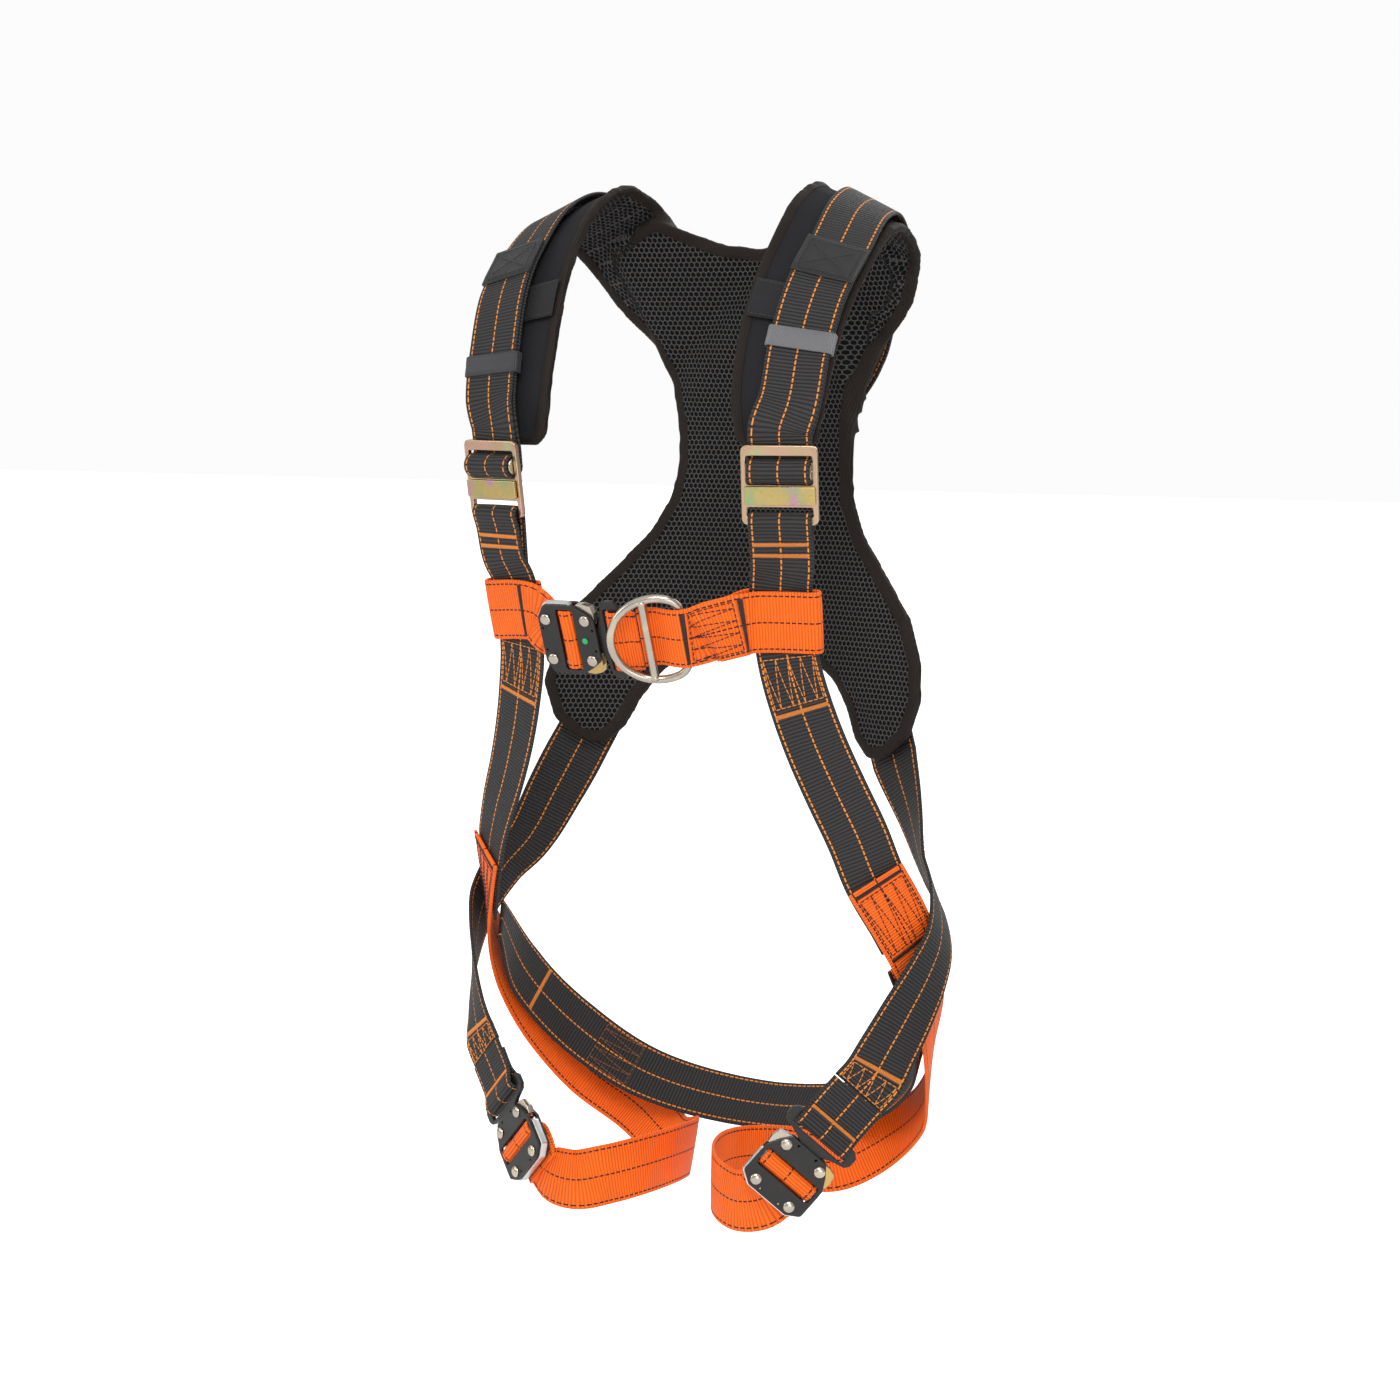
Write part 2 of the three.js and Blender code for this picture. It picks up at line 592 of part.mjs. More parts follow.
function buckleRivet(x, y) {
  const back = -PLATE_INNER - PLATE_THICK;
  const front = -back;
  const profile = [[0, back - 1.2], [3.2, back - 1.2], [3.6, back - 0.3], [RIVET_SHAFT, back - 0.3],
    [RIVET_SHAFT, front + 0.3], [RIVET_HEAD, front + 0.3], [RIVET_HEAD * 0.86, front + 1.3], [0, front + 2]];
  const points = profile.map(([r, z]) => new THREE.Vector2(r, z));
  const rivet = new THREE.LatheGeometry(points, 10).rotateX(Math.PI / 2).translate(x, y, 0);
  return toGeometry(toSolid(rivet));
}

// The stretch of webbing that is looped through the tongue. end is where it stops, or meets its strap.
function tongueWeb(frame, end, tailEnd) {
  return ribbon([
    stationIn(frame, end, 0.9, 90), stationIn(frame, 50, 1.5, 90), stationIn(frame, 46, 3, 80),
    ...roundBar(frame, TONGUE_BAR_X, 0, TONGUE_LOOP, 75, 285, 8, false),
    stationIn(frame, 46, -3, -80), stationIn(frame, 50, -1.5, -90), stationIn(frame, tailEnd, -1.5, -90),
  ]);
}

const buckleParts = [
  ['front_plate', buckleSidePlate(PLATE_INNER, PLATE_INNER + PLATE_THICK), blackPlate],
  ['back_plate', buckleSidePlate(-PLATE_INNER - PLATE_THICK, -PLATE_INNER), blackPlate],
  ['core', buckleCore(), brightSteel],
  ['pawl_upper', toGeometry(bucklePawl()), brightSteel],
  ['pawl_lower', toGeometry(bucklePawl().mirror([0, 1, 0])), brass],
  ['tongue', buckleTongue(), blackPlate],
  ['rivet_1', buckleRivet(-RIVET_X, RIVET_Y), brightSteel],
  ['rivet_2', buckleRivet(RIVET_X, RIVET_Y), brightSteel],
  ['rivet_3', buckleRivet(-RIVET_X, -RIVET_Y), brightSteel],
  ['rivet_4', buckleRivet(RIVET_X, -RIVET_Y), brightSteel],
];

for (const [name, geometry, material] of buckleParts) {
  addMesh(`chest_${name}`, geometry, material, chestBuckleFrame);
  addMesh(`leg_left_${name}`, geometry, material, legBuckleFrame);
  addMesh(`leg_right_${name}`, mirrored(geometry, legBuckleFrame), material);
}

addPair('leg_tongue_web', tongueWeb(legBuckleFrame, TONGUE_WEB_END, TONGUE_WEB_END - 8), blackWeb);
addMesh('chest_tongue_web', tongueWeb(chestBuckleFrame, 57, 53), orangeWeb);

const indicator = new THREE.CylinderGeometry(2.3, 2.3, 0.9, 12).rotateX(Math.PI / 2);
addMesh('chest_indicator', toGeometry(toSolid(indicator.translate(14, 0, 6))), greenPlastic, chestBuckleFrame);

// ---- rings ---------------------------------------------------------------------------------------
// A closed wire ring in the XY plane.
function wireRing(points, radius, steps, sides = 8) {
  const path = points.map(([x, y]) => new THREE.Vector3(x, y, 0));
  const curve = new THREE.CatmullRomCurve3(path, true, 'centripetal');
  const rings = Array.from({ length: steps }, (_, i) => {
    const tangent = curve.getTangent(i / steps);
    const side = new THREE.Vector3(-tangent.y, tangent.x, 0);
    return Array.from({ length: sides }, (__, k) => {
      const angle = (2 * Math.PI * k) / sides;
      const point = curve.getPoint(i / steps).addScaledVector(side, radius * Math.cos(angle));
      point.z += radius * Math.sin(angle);
      return point;
    });
  });
  return loft(rings, true);
}

function chestRing() {
  const half = [[25.5, 13], [25.5, 22], [21, 28], [12, 31], [2, 31], [-9, 27.5], [-19, 20], [-25, 9]];
  const loop = wireRing([...half, [-26.5, 0], ...half.map(([x, y]) => [x, -y]).reverse(), [25.5, 0]],
    CHEST_RING_WIRE, 36);
  const bar = new THREE.CylinderGeometry(CHEST_RING_WIRE * 0.9, CHEST_RING_WIRE * 0.9, 60, 8);
  return toGeometry(toSolid(loop).add(toSolid(bar)));
}

addMesh('chest_ring', chestRing(), brightSteel, chestRingFrame);

// Local Z of the dorsal fitting points away from the wearer's back.
const DORSAL_BAR = { y: 4, z: 8.6 };

function dorsalPlate() {
  const plate = toSolid(slab(roundedRect(-42, 42, -50, 50, 12), -2, 2));
  const lug = (x) => toSolid(box(x - 6, x + 6, DORSAL_BAR.y - 7, DORSAL_BAR.y + 7, 1, DORSAL_BAR.z + 5));
  const bore = new THREE.CylinderGeometry(DORSAL_RING_WIRE + 0.5, DORSAL_RING_WIRE + 0.5, 60, 16)
    .rotateZ(Math.PI / 2).translate(0, DORSAL_BAR.y, DORSAL_BAR.z);
  return toGeometry(plate.add(lug(-14)).add(lug(14)).subtract(toSolid(bore)));
}

function dorsalRing() {
  const half = [[24, 0], [29, -2.5], [31, -10], [30, -28], [24, -44], [13, -54]];
  const outlinePoints = [[8, 0], ...half, [0, -57.5], ...half.map(([x, y]) => [-x, y]).reverse(), [-8, 0]];
  const hanging = wireRing(outlinePoints, DORSAL_RING_WIRE, 40, 10).rotateX(radians(dorsalLean));
  return hanging.translate(0, DORSAL_BAR.y, DORSAL_BAR.z);
}

addMesh('dorsal_plate', dorsalPlate(), blackPlastic, dorsalFrame);
addMesh('dorsal_ring', dorsalRing(), brightSteel, dorsalFrame);
addPair('pad_band', padBand(), blackWeb);

export default harness;
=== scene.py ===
"""Looks of a full-body safety harness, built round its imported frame, in metres."""
import copy
import math

import bpy
import numpy as np
from mathutils import Matrix, Vector
from mathutils.kdtree import KDTree


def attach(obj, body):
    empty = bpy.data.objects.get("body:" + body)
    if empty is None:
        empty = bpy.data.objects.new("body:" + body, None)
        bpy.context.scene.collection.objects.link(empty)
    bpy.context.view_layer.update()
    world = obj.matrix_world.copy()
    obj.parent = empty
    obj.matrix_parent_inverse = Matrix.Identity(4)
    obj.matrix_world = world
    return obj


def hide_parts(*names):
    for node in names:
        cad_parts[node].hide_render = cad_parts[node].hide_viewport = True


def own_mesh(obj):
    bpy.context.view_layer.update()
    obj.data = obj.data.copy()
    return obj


bl_info = {
    "name": "Safety Harness",
    "version": (1, 0, 0),
    "blender": (4, 5, 0),
    "location": "View3D > Sidebar > Harness",
    "description": "Builds the webbing, pad, buckles and rings of a safety harness",
    "category": "Object",
}

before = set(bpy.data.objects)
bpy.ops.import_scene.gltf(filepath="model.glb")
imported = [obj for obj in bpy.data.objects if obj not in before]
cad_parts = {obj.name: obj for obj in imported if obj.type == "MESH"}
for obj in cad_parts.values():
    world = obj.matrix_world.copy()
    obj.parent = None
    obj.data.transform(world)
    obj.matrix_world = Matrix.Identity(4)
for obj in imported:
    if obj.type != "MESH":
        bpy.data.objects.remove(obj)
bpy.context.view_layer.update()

MM = 0.001
BODY = "harness"
SIDES = ("left", "right")


# Settings.
class WebbingSettings(bpy.types.PropertyGroup):
    """Sizes and colours of the webbing."""

    thickness: bpy.props.FloatProperty(
        name="Thickness", description="Thickness of one layer", default=0.0024, unit="LENGTH")
    cup: bpy.props.FloatProperty(
        name="Cup", description="How far the edges curl behind the middle", default=0.00025, unit="LENGTH")
    step: bpy.props.FloatProperty(
        name="Step", description="Distance between two sections", default=0.004, unit="LENGTH")
    black: bpy.props.FloatVectorProperty(
        name="Black webbing", description="Colour of the black webbing", default=(0.026, 0.024, 0.024),
        size=3, subtype="COLOR")
    orange: bpy.props.FloatVectorProperty(
        name="Orange webbing", description="Colour of the orange webbing", default=(1.0, 0.14, 0.004),
        size=3, subtype="COLOR")
    tracer: bpy.props.FloatVectorProperty(
        name="Tracer", description="Colour of the tracer lines and bar tacks on black webbing",
        default=(0.86, 0.27, 0.03), size=3, subtype="COLOR")
    dark_thread: bpy.props.FloatVectorProperty(
        name="Dark thread", description="Colour of the lines and bar tacks on orange webbing",
        default=(0.02, 0.01, 0.008), size=3, subtype="COLOR")


class PadSettings(bpy.types.PropertyGroup):
    """Sizes and colours of the back pad."""

    voxel: bpy.props.FloatProperty(
        name="Mesh size", description="Size of the pad's mesh faces", default=0.0024, unit="LENGTH")
    binding: bpy.props.FloatProperty(
        name="Binding", description="Width of the edge binding", default=0.0085, unit="LENGTH")
    crown: bpy.props.FloatProperty(
        name="Crown", description="How far the padding swells inside its binding", default=0.0016, unit="LENGTH")
    cell: bpy.props.FloatProperty(
        name="Lining cell", description="Width of one cell of the lining", default=0.0042, unit="LENGTH")
    shell: bpy.props.FloatVectorProperty(
        name="Shell", description="Colour of the outer fabric", default=(0.016, 0.016, 0.018),
        size=3, subtype="COLOR")
    edge: bpy.props.FloatVectorProperty(
        name="Binding colour", description="Colour of the edge binding", default=(0.015, 0.011, 0.009),
        size=3, subtype="COLOR")


class MetalSettings(bpy.types.PropertyGroup):
    """Colours of the metal and plastic parts."""

    zinc: bpy.props.FloatVectorProperty(
        name="Zinc plate", description="Colour of the adjuster plates", default=(0.62, 0.43, 0.28),
        size=3, subtype="COLOR")
    steel: bpy.props.FloatVectorProperty(
        name="Steel", description="Colour of rings, rivets and pins", default=(0.56, 0.50, 0.42),
        size=3, subtype="COLOR")
    coated: bpy.props.FloatVectorProperty(
        name="Coated plate", description="Colour of the buckles' dark plates", default=(0.013, 0.012, 0.011),
        size=3, subtype="COLOR")
    brass: bpy.props.FloatVectorProperty(
        name="Brass", description="Colour of the lower catches", default=(0.62, 0.42, 0.16),
        size=3, subtype="COLOR")


class StageSettings(bpy.types.PropertyGroup):
    """Camera and light."""

    azimuth: bpy.props.FloatProperty(
        name="Azimuth", description="Camera angle round the harness", default=math.radians(28.0),
        subtype="ANGLE")
    elevation: bpy.props.FloatProperty(
        name="Elevation", description="Camera angle above level", default=math.radians(6.0), subtype="ANGLE")
    distance: bpy.props.FloatProperty(
        name="Distance", description="Camera distance", default=2.6, unit="LENGTH")
    lens: bpy.props.FloatProperty(name="Lens", description="Focal length in millimetres", default=90.95)
    floor: bpy.props.FloatProperty(
        name="Floor", description="Height of the floor", default=-0.62, unit="LENGTH")


# Places, in millimetres.
def facing(azimuth, pitch):
    a, p = math.radians(azimuth), math.radians(pitch)
    return Vector((math.sin(a) * math.cos(p), -math.cos(a) * math.cos(p), math.sin(p)))


def frame_at(x, y, z, azimuth, pitch, roll):
    """A fitting's frame: local Z is its facing, local X is level and then turned by the roll."""
    out = facing(azimuth, pitch)
    level = Vector((math.cos(math.radians(azimuth)), math.sin(math.radians(azimuth)), 0))
    up = out.cross(level)
    along = level * math.cos(math.radians(roll)) + up * math.sin(math.radians(roll))
    across = out.cross(along)
    matrix = Matrix((along, across, out)).transposed().to_4x4()
    matrix.translation = (x, y, z)
    return matrix


WIDTH = 45.0
THICK = 2.2
LOOK_THICKNESS = 1.09
LINE_OFFSET = 19.4
LINE_HALF = 0.55
DASH_LENGTH = 4.2
DASH_SHARE = 0.72
ORANGE_THREAD = 0.38
DARK_THREAD = 0.42
PIN_X = 9.5
LEG_WEB_SPLIT = 51.8
CHEST_WEB_SPLIT = 44.8
KEEPER_HEIGHT = {"left": 186, "right": 168}
PANEL_REACH = 40
YOKE_REACH = 9
OUTSIDE = -1e3
SMOOTHING_PASSES = 240
LAYER = 2.7
HIP_LAYER = 4.2
STRAP_LIFT = 7.5
TAIL_LIFT = STRAP_LIFT + LAYER
LOOP_GAP = 3.9
TONGUE_WEB_END = 76
CHEST_WEB_END = 57

ADJUSTER = frame_at(115, -99, 92, 16, -8, 90)
LEG_BUCKLE = frame_at(110, -74, -399, 28, 0, 49)
CHEST_BUCKLE = frame_at(-50, -100, -20, -3, -20, 0)
CHEST_RING = frame_at(16, -108, -19, 24, -20, 8)
CHEST_LOOP = frame_at(108, -79, -4, 15, -13, 0)
DORSAL = frame_at(0, 124.4, 95, 180, -10, 0)
DORSAL_BAR = (4, 8.6)


def station(x, y, z, azimuth, pitch, width=WIDTH, thick=THICK):
    return (Vector((x, y, z)), facing(azimuth, pitch), width, thick)


def station_in(place, x, z, angle):
    a = math.radians(angle)
    face = (place.to_3x3() @ Vector((math.cos(a), 0, math.sin(a)))).normalized()
    return (place @ Vector((x, 0, z)), face, WIDTH, THICK)


def round_bar(place, x, z, radius, start, end, steps, inward=False):
    found = []
    for i in range(steps + 1):
        angle = start + (end - start) * i / steps
        a = math.radians(angle)
        found.append(station_in(place, x + radius * math.cos(a), z + radius * math.sin(a),
                                angle + 180 if inward else angle))
    return found


def lifted(base, height, aside=Vector((0, 0, 0))):
    return (base[0] + base[1] * height + aside, base[1], base[2], base[3])


def turned(rows):
    return [(p, -face, width, thick) for p, face, width, thick in rows]


def flipped(rows):
    return [(Vector((-p.x, p.y, p.z)), Vector((-f.x, f.y, f.z)), w, t) for p, f, w, t in rows]


def back_depth(x, z):
    return 96 + 0.18 * z - 0.0016 * x * x - 0.006 * max(0.0, z - 170) ** 2


def on_back(x, z, height):
    slope = math.degrees(math.atan(0.0032 * x))
    lean = -math.degrees(math.atan(0.18))
    return lifted(station(x, back_depth(x, z), z, 180 - slope, lean), height)


# Straps.
def catmull_rom(points, count):
    """Points and tangents on the centripetal curve through points, with count[i] steps on span i."""
    pts = [np.array(p) for p in points]
    found, tangents = [], []
    last = len(pts) - 1
    for i in range(last):
        p1, p2 = pts[i], pts[i + 1]
        p0 = pts[i - 1] if i > 0 else 2 * pts[0] - pts[1]
        p3 = pts[i + 2] if i + 2 <= last else 2 * pts[last] - pts[last - 1]
        d0, d1, d2 = (max(np.linalg.norm(b - a), 1e-8) ** 0.5 for a, b in ((p0, p1), (p1, p2), (p2, p3)))
        t1 = ((p1 - p0) / d0 - (p2 - p0) / (d0 + d1) + (p2 - p1) / d1) * d1
        t2 = ((p2 - p1) / d1 - (p3 - p1) / (d1 + d2) + (p3 - p2) / d2) * d1
        c2, c3 = -3 * p1 + 3 * p2 - 2 * t1 - t2, 2 * p1 - 2 * p2 + t1 + t2
        for k in range(count[i] + (1 if i == last - 1 else 0)):
            t = k / count[i]
            found.append(p1 + t1 * t + c2 * t * t + c3 * t ** 3)
            tangents.append(t1 + 2 * c2 * t + 3 * c3 * t * t)
    return np.array(found), np.array(tangents)


class Strap:
    """A strap's middle surface: sections along the smooth line through its stations."""

    def __init__(self, stations, step=4.0):
        spans = list(zip(stations, stations[1:]))
        count = [max(1, math.ceil((b[0] - a[0]).length / step)) for a, b in spans]
        self.points, tangents = catmull_rom([s[0] for s in stations], count)
        faces, widths, thick = [], [], []
        for i, (a, b) in enumerate(spans):
            for k in range(count[i] + (1 if i == len(spans) - 1 else 0)):
                t = k / count[i]
                faces.append(a[1].lerp(b[1], t))
                widths.append(a[2] + (b[2] - a[2]) * t)
                thick.append(a[3] + (b[3] - a[3]) * t)
        tangents /= np.linalg.norm(tangents, axis=1)[:, None]
        faces = np.array(faces)
        faces -= tangents * (faces * tangents).sum(1)[:, None]
        self.faces = faces / np.linalg.norm(faces, axis=1)[:, None]
        self.sides = np.cross(self.faces, tangents)
        self.widths = np.array(widths)
        self.thick = np.array(thick)
        lengths = np.linalg.norm(np.diff(self.points, axis=0), axis=1)
        self.run = np.concatenate([[0], np.cumsum(lengths)])

    def nearest(self, place):
        """How far along the strap the section nearest to a place is."""
        k = np.linalg.norm(self.points - np.array(place), axis=1).argmin()
        ahead = np.gradient(self.points, axis=0)[k]
        return float(self.run[k] + (np.array(place) - self.points[k]) @ ahead / np.linalg.norm(ahead))

    def part(self, low, high):
        """The stretch of the strap between two runs."""
        low, high = (self.run[np.abs(self.run - r).argmin()] for r in (low, high))
        kept = (self.run >= low) & (self.run <= high)
        stretch = copy.copy(self)
        for key in ("points", "faces", "sides", "widths", "thick", "run"):
            setattr(stretch, key, getattr(self, key)[kept])
        return stretch

    def _mix(self, values, run):
        return np.array([np.interp(run, self.run, values[:, i]) for i in range(3)])

    def at(self, run, across, side=1):
        """A point on the strap's outer (side 1) or inner (side -1) surface."""
        thick = float(np.interp(run, self.run, self.thick))
        width = float(np.interp(run, self.run, self.widths))
        drop = cup_drop(across / (width / 2))
        return (self._mix(self.points, run) + self._mix(self.sides, run) * across
                + self._mix(self.faces, run) * (side * (thick * LOOK_THICKNESS / 2) - drop))


def webbing_settings():
    return bpy.context.scene.harness_webbing


def cup_drop(share):
    return webbing_settings().cup / MM * share * share


EDGE = [(-1.0, 0.0), (-0.992, 0.55), (-0.97, 0.9), (-0.93, 1.0), (-0.62, 1.0), (-0.3, 1.0), (0.0, 1.0)]
SECTION = EDGE + [(-u, v) for u, v in reversed(EDGE[:-1])]
SECTION = SECTION + [(u, -v) for u, v in reversed(SECTION[1:-1])]


def set_attribute(mesh, key, values):
    layer = mesh.attributes.new(key, "FLOAT", "POINT")
    layer.data.foreach_set("value", np.array(values, np.float32))


def shade_smooth(mesh):
    mesh.polygons.foreach_set("use_smooth", [True] * len(mesh.polygons))


def evaluated_mesh(holder):
    """The mesh that an object's modifiers or curve give; the object is used up."""
    bpy.context.scene.collection.objects.link(holder)
    bpy.context.view_layer.update()
    mesh = bpy.data.meshes.new_from_object(holder.evaluated_get(bpy.context.evaluated_depsgraph_get()))
    bpy.data.objects.remove(holder)
    return mesh


def mesh_from(name, verts, faces, **attributes):
    """A mesh in metres from millimetre points, with one float attribute for each extra list."""
    mesh = bpy.data.meshes.new(name)
    mesh.from_pydata((np.array(verts) * MM).tolist(), [], faces)
    for key, values in attributes.items():
        set_attribute(mesh, key, values)
    mesh.validate()
    shade_smooth(mesh)
    return mesh


def band(a, b, count):
    """Quads between two rings of count points that start at points a and b."""
    return [(a + j, a + (j + 1) % count, b + (j + 1) % count, b + j) for j in range(count)]


def skin(rings, closed_length=False):
    """Quads between equal rings of points, with an end face at each end of an open row."""
    count, total = len(rings[0]), len(rings)
    faces = []
    for i in range(total if closed_length else total - 1):
        faces += band(i * count, ((i + 1) % total) * count, count)
    if not closed_length:
        faces.append(tuple(range(count - 1, -1, -1)))
        faces.append(tuple((total - 1) * count + j for j in range(count)))
    return faces


def strap_mesh(name, strap, thick_scale=None):
    """Webbing along a strap, with rounded selvedges and its own along and across measures."""
    settings = webbing_settings()
    scale = thick_scale or settings.thickness / MM / THICK
    verts, along, across = [], [], []
    for i, point in enumerate(strap.points):
        half, thick = strap.widths[i] / 2, strap.thick[i] * scale / 2
        for u, v in SECTION:
            height = thick * v - cup_drop(u)
            verts.append(point + strap.sides[i] * (u * half) + strap.faces[i] * height)
            along.append(strap.run[i])
            across.append(u * half)
    rings = [range(i * len(SECTION), (i + 1) * len(SECTION)) for i in range(len(strap.points))]
    mesh = mesh_from(name, verts, skin(rings), along=along, across=across)
    outward(mesh)
    return mesh


def outward(mesh):
    """Turns the faces out if the closed mesh is inside out."""
    co = np.empty(len(mesh.vertices) * 3)
    mesh.vertices.foreach_get("co", co)
    co = co.reshape(-1, 3)
    mesh.calc_loop_triangles()
    tris = np.array([t.vertices[:] for t in mesh.loop_triangles])
    a, b, c = co[tris[:, 0]], co[tris[:, 1]], co[tris[:, 2]]
    if (a * np.cross(b, c)).sum() < 0:
        mesh.flip_normals()


# Thread.
class Thread:
    """Raised stitches, gathered into one mesh."""

    def __init__(self, radius=0.34, sides=5):
        self.radius, self.sides = radius, sides
        self.verts, self.faces = [], []

    def stitch(self, start, end, out, bow=0.5):
        """One stitch from start to end that stands out of the webbing in its middle."""
        start, end, out = np.array(start), np.array(end), np.array(out)
        direction = (end - start) / max(np.linalg.norm(end - start), 1e-9)
        aside = np.cross(direction, out)
        first = len(self.verts)
        rows = ((0.0, -0.5, 0.55), (0.18, bow * 0.7, 1.0), (0.5, bow, 1.08), (0.82, bow * 0.7, 1.0),
                (1.0, -0.5, 0.55))
        for t, height, size in rows:
            centre = start + (end - start) * t + out * (height * self.radius)
            for k in range(self.sides):
                a = 2 * math.pi * k / self.sides
                offset = aside * math.cos(a) + out * math.sin(a)
                self.verts.append(centre + offset * (self.radius * size))
        for i in range(len(rows) - 1):
            self.faces += band(first + i * self.sides, first + (i + 1) * self.sides, self.sides)
        self.faces.append(tuple(range(first, first + self.sides)))
        last = first + (len(rows) - 1) * self.sides
        self.faces.append(tuple(range(last + self.sides - 1, last - 1, -1)))

    def bar_tack(self, strap, run, side=1, half=19.5, length=3.4, pitch=0.85):
        """A dense zigzag across the webbing."""
        count = int(2 * half / pitch)
        for i in range(count):
            u0 = -half + 2 * half * i / count
            u1 = -half + 2 * half * (i + 1) / count
            a = strap.at(run - length / 2, u0, side)
            b = strap.at(run + length / 2, (u0 + u1) / 2, side)
            self.stitch(a, b, strap._mix(strap.faces, run) * side, 0.75)

    def seam(self, strap, path, side=1, length=3.4, gap=0.7):
        """Running stitches along a path of (run, across) points."""
        for (r0, u0), (r1, u1) in zip(path, path[1:]):
            distance = math.hypot(r1 - r0, u1 - u0)
            count = max(1, round(distance / (length + gap)))
            for i in range(count):
                t0 = (i + gap / 2 / (length + gap)) / count
                t1 = (i + 1 - gap / 2 / (length + gap)) / count
                a = strap.at(r0 + (r1 - r0) * t0, u0 + (u1 - u0) * t0, side)
                b = strap.at(r0 + (r1 - r0) * t1, u0 + (u1 - u0) * t1, side)
                out = strap._mix(strap.faces, r0 + (r1 - r0) * (t0 + t1) / 2) * side
                self.stitch(a, b, out, 0.35)

    def w_box(self, strap, low, high, side=1, half=18.0, peaks=4):
        """A box of stitches with a zigzag inside it, between two runs."""
        box = [(low, -half), (high, -half), (high, half), (low, half), (low, -half)]
        self.seam(strap, box, side)
        zigzag = [(high if i % 2 else low, -half + 2 * half * i / (2 * peaks)) for i in range(2 * peaks + 1)]
        self.seam(strap, zigzag, side)

    def mesh(self, name):
        mesh = mesh_from(name, self.verts, self.faces)
        outward(mesh)
        return mesh


# Shader building.
class Shader:
    """A short way to place nodes in one node tree."""

    def __init__(self, tree):
        self.tree = tree

    def add(self, kind, sources=None, **settings):
        node = self.tree.nodes.new(kind)
        for key, value in settings.items():
            setattr(node, key, value)
        for key, value in (sources or {}).items():
            if isinstance(value, bpy.types.NodeSocket):
                self.tree.links.new(value, node.inputs[key])
            else:
                node.inputs[key].default_value = value
        return node

    def math(self, operation, a, b=0.0, c=0.0, clamp=False):
        return self.add("ShaderNodeMath", {0: a, 1: b, 2: c}, operation=operation, use_clamp=clamp).outputs[0]

    def mix(self, share, a, b, blend="MIX"):
        node = self.add("ShaderNodeMix", data_type="RGBA", blend_type=blend)
        for index, value in ((0, share), (6, a), (7, b)):
            if isinstance(value, bpy.types.NodeSocket):
                self.tree.links.new(value, node.inputs[index])
            else:
                node.inputs[index].default_value = value if index == 0 else (*value[:3], 1.0)
        return node.outputs[2]

    def mix_value(self, share, a, b):
        return self.add("ShaderNodeMix", {0: share, 2: a, 3: b}, data_type="FLOAT").outputs[0]

    def attribute(self, name):
        return self.add("ShaderNodeAttribute", attribute_name=name).outputs["Fac"]

    def noise(self, scale, detail, vector, roughness=0.5):
        sources = {"Scale": scale, "Detail": detail, "Roughness": roughness, "Vector": vector}
        return self.add("ShaderNodeTexNoise", sources).outputs[0]

    def place(self):
        return self.add("ShaderNodeTexCoord").outputs["Object"]

    def ramp(self, value, low, high):
        return self.add("ShaderNodeMapRange", {0: value, 1: low, 2: high, 3: 0.0, 4: 1.0},
                        interpolation_type="SMOOTHSTEP").outputs[0]


def shader_group(name, inputs, outputs, build):
    """A node group with named inputs and outputs, built once."""
    group = bpy.data.node_groups.get(name)
    if group:
        return group
    group = bpy.data.node_groups.new(name, "ShaderNodeTree")
    for label, kind, default in inputs:
        socket = group.interface.new_socket(label, in_out="INPUT", socket_type=kind)
        socket.default_value = (*default, 1.0) if kind == "NodeSocketColor" else default
    for label, kind in outputs:
        group.interface.new_socket(label, in_out="OUTPUT", socket_type=kind)
    shader = Shader(group)
    source = group.nodes.new("NodeGroupInput").outputs
    sink = group.nodes.new("NodeGroupOutput").inputs
    for label, socket in build(shader, source).items():
        group.links.new(socket, sink[label])
    return group


FLOAT, COLOUR = "NodeSocketFloat", "NodeSocketColor"


def build_weave(s, source):
    """Ribbed webbing with dashed tracer lines at edges and middle; rib tops painted light, grooves painted as shade.
    """
    along, across = s.attribute("along"), s.attribute("across")
    waver = s.math("MULTIPLY", s.noise(30.0, 1.0, s.place()), 0.8)
    rib_wave = s.math("ADD", s.math("DIVIDE", along, source["Rib"]), waver)
    rib = s.math("ABSOLUTE", s.math("SINE", s.math("MULTIPLY", rib_wave, math.pi)))
    column_wave = s.math("DIVIDE", across, source["Column"])
    column = s.math("ABSOLUTE", s.math("SINE", s.math("MULTIPLY", column_wave, math.pi)))
    height = s.math("MULTIPLY", s.math("POWER", rib, 1.2), s.math("MULTIPLY_ADD", column, 0.25, 0.75))
    offset = s.math("ABSOLUTE", across)
    middle = s.math("LESS_THAN", offset, LINE_HALF)
    edge = s.math("LESS_THAN", s.math("ABSOLUTE", s.math("SUBTRACT", offset, LINE_OFFSET)), LINE_HALF)
    line = s.math("MAXIMUM", middle, edge)
    dash = s.math("LESS_THAN", s.math("FRACT", s.math("DIVIDE", along, DASH_LENGTH)), DASH_SHARE)
    tracer = s.math("MULTIPLY", s.math("MULTIPLY", line, dash), source["Tracer share"])
    cloud = s.noise(38.0, 3.0, s.place())
    # Painted highlight and shade: rib tops lighter, grooves darker, scaled by Depth, over a random cloudy tone.
    shade = s.math("MULTIPLY_ADD", height, source["Depth"], s.math("MULTIPLY_ADD", cloud, 0.3, 0.85))
    shade = s.math("SUBTRACT", shade, s.math("MULTIPLY", source["Depth"], 0.62))
    grey = s.add("ShaderNodeCombineColor", {0: shade, 1: shade, 2: shade}).outputs[0]
    colour = s.mix(1.0, source["Colour"], grey, "MULTIPLY")
    colour = s.mix(tracer, colour, source["Tracer"])
    raised = s.math("ADD", height, s.math("MULTIPLY", tracer, 0.7))
    rough = s.math("MULTIPLY_ADD", cloud, 0.2, source["Roughness"])
    return {"Colour": colour, "Height": raised, "Roughness": rough}


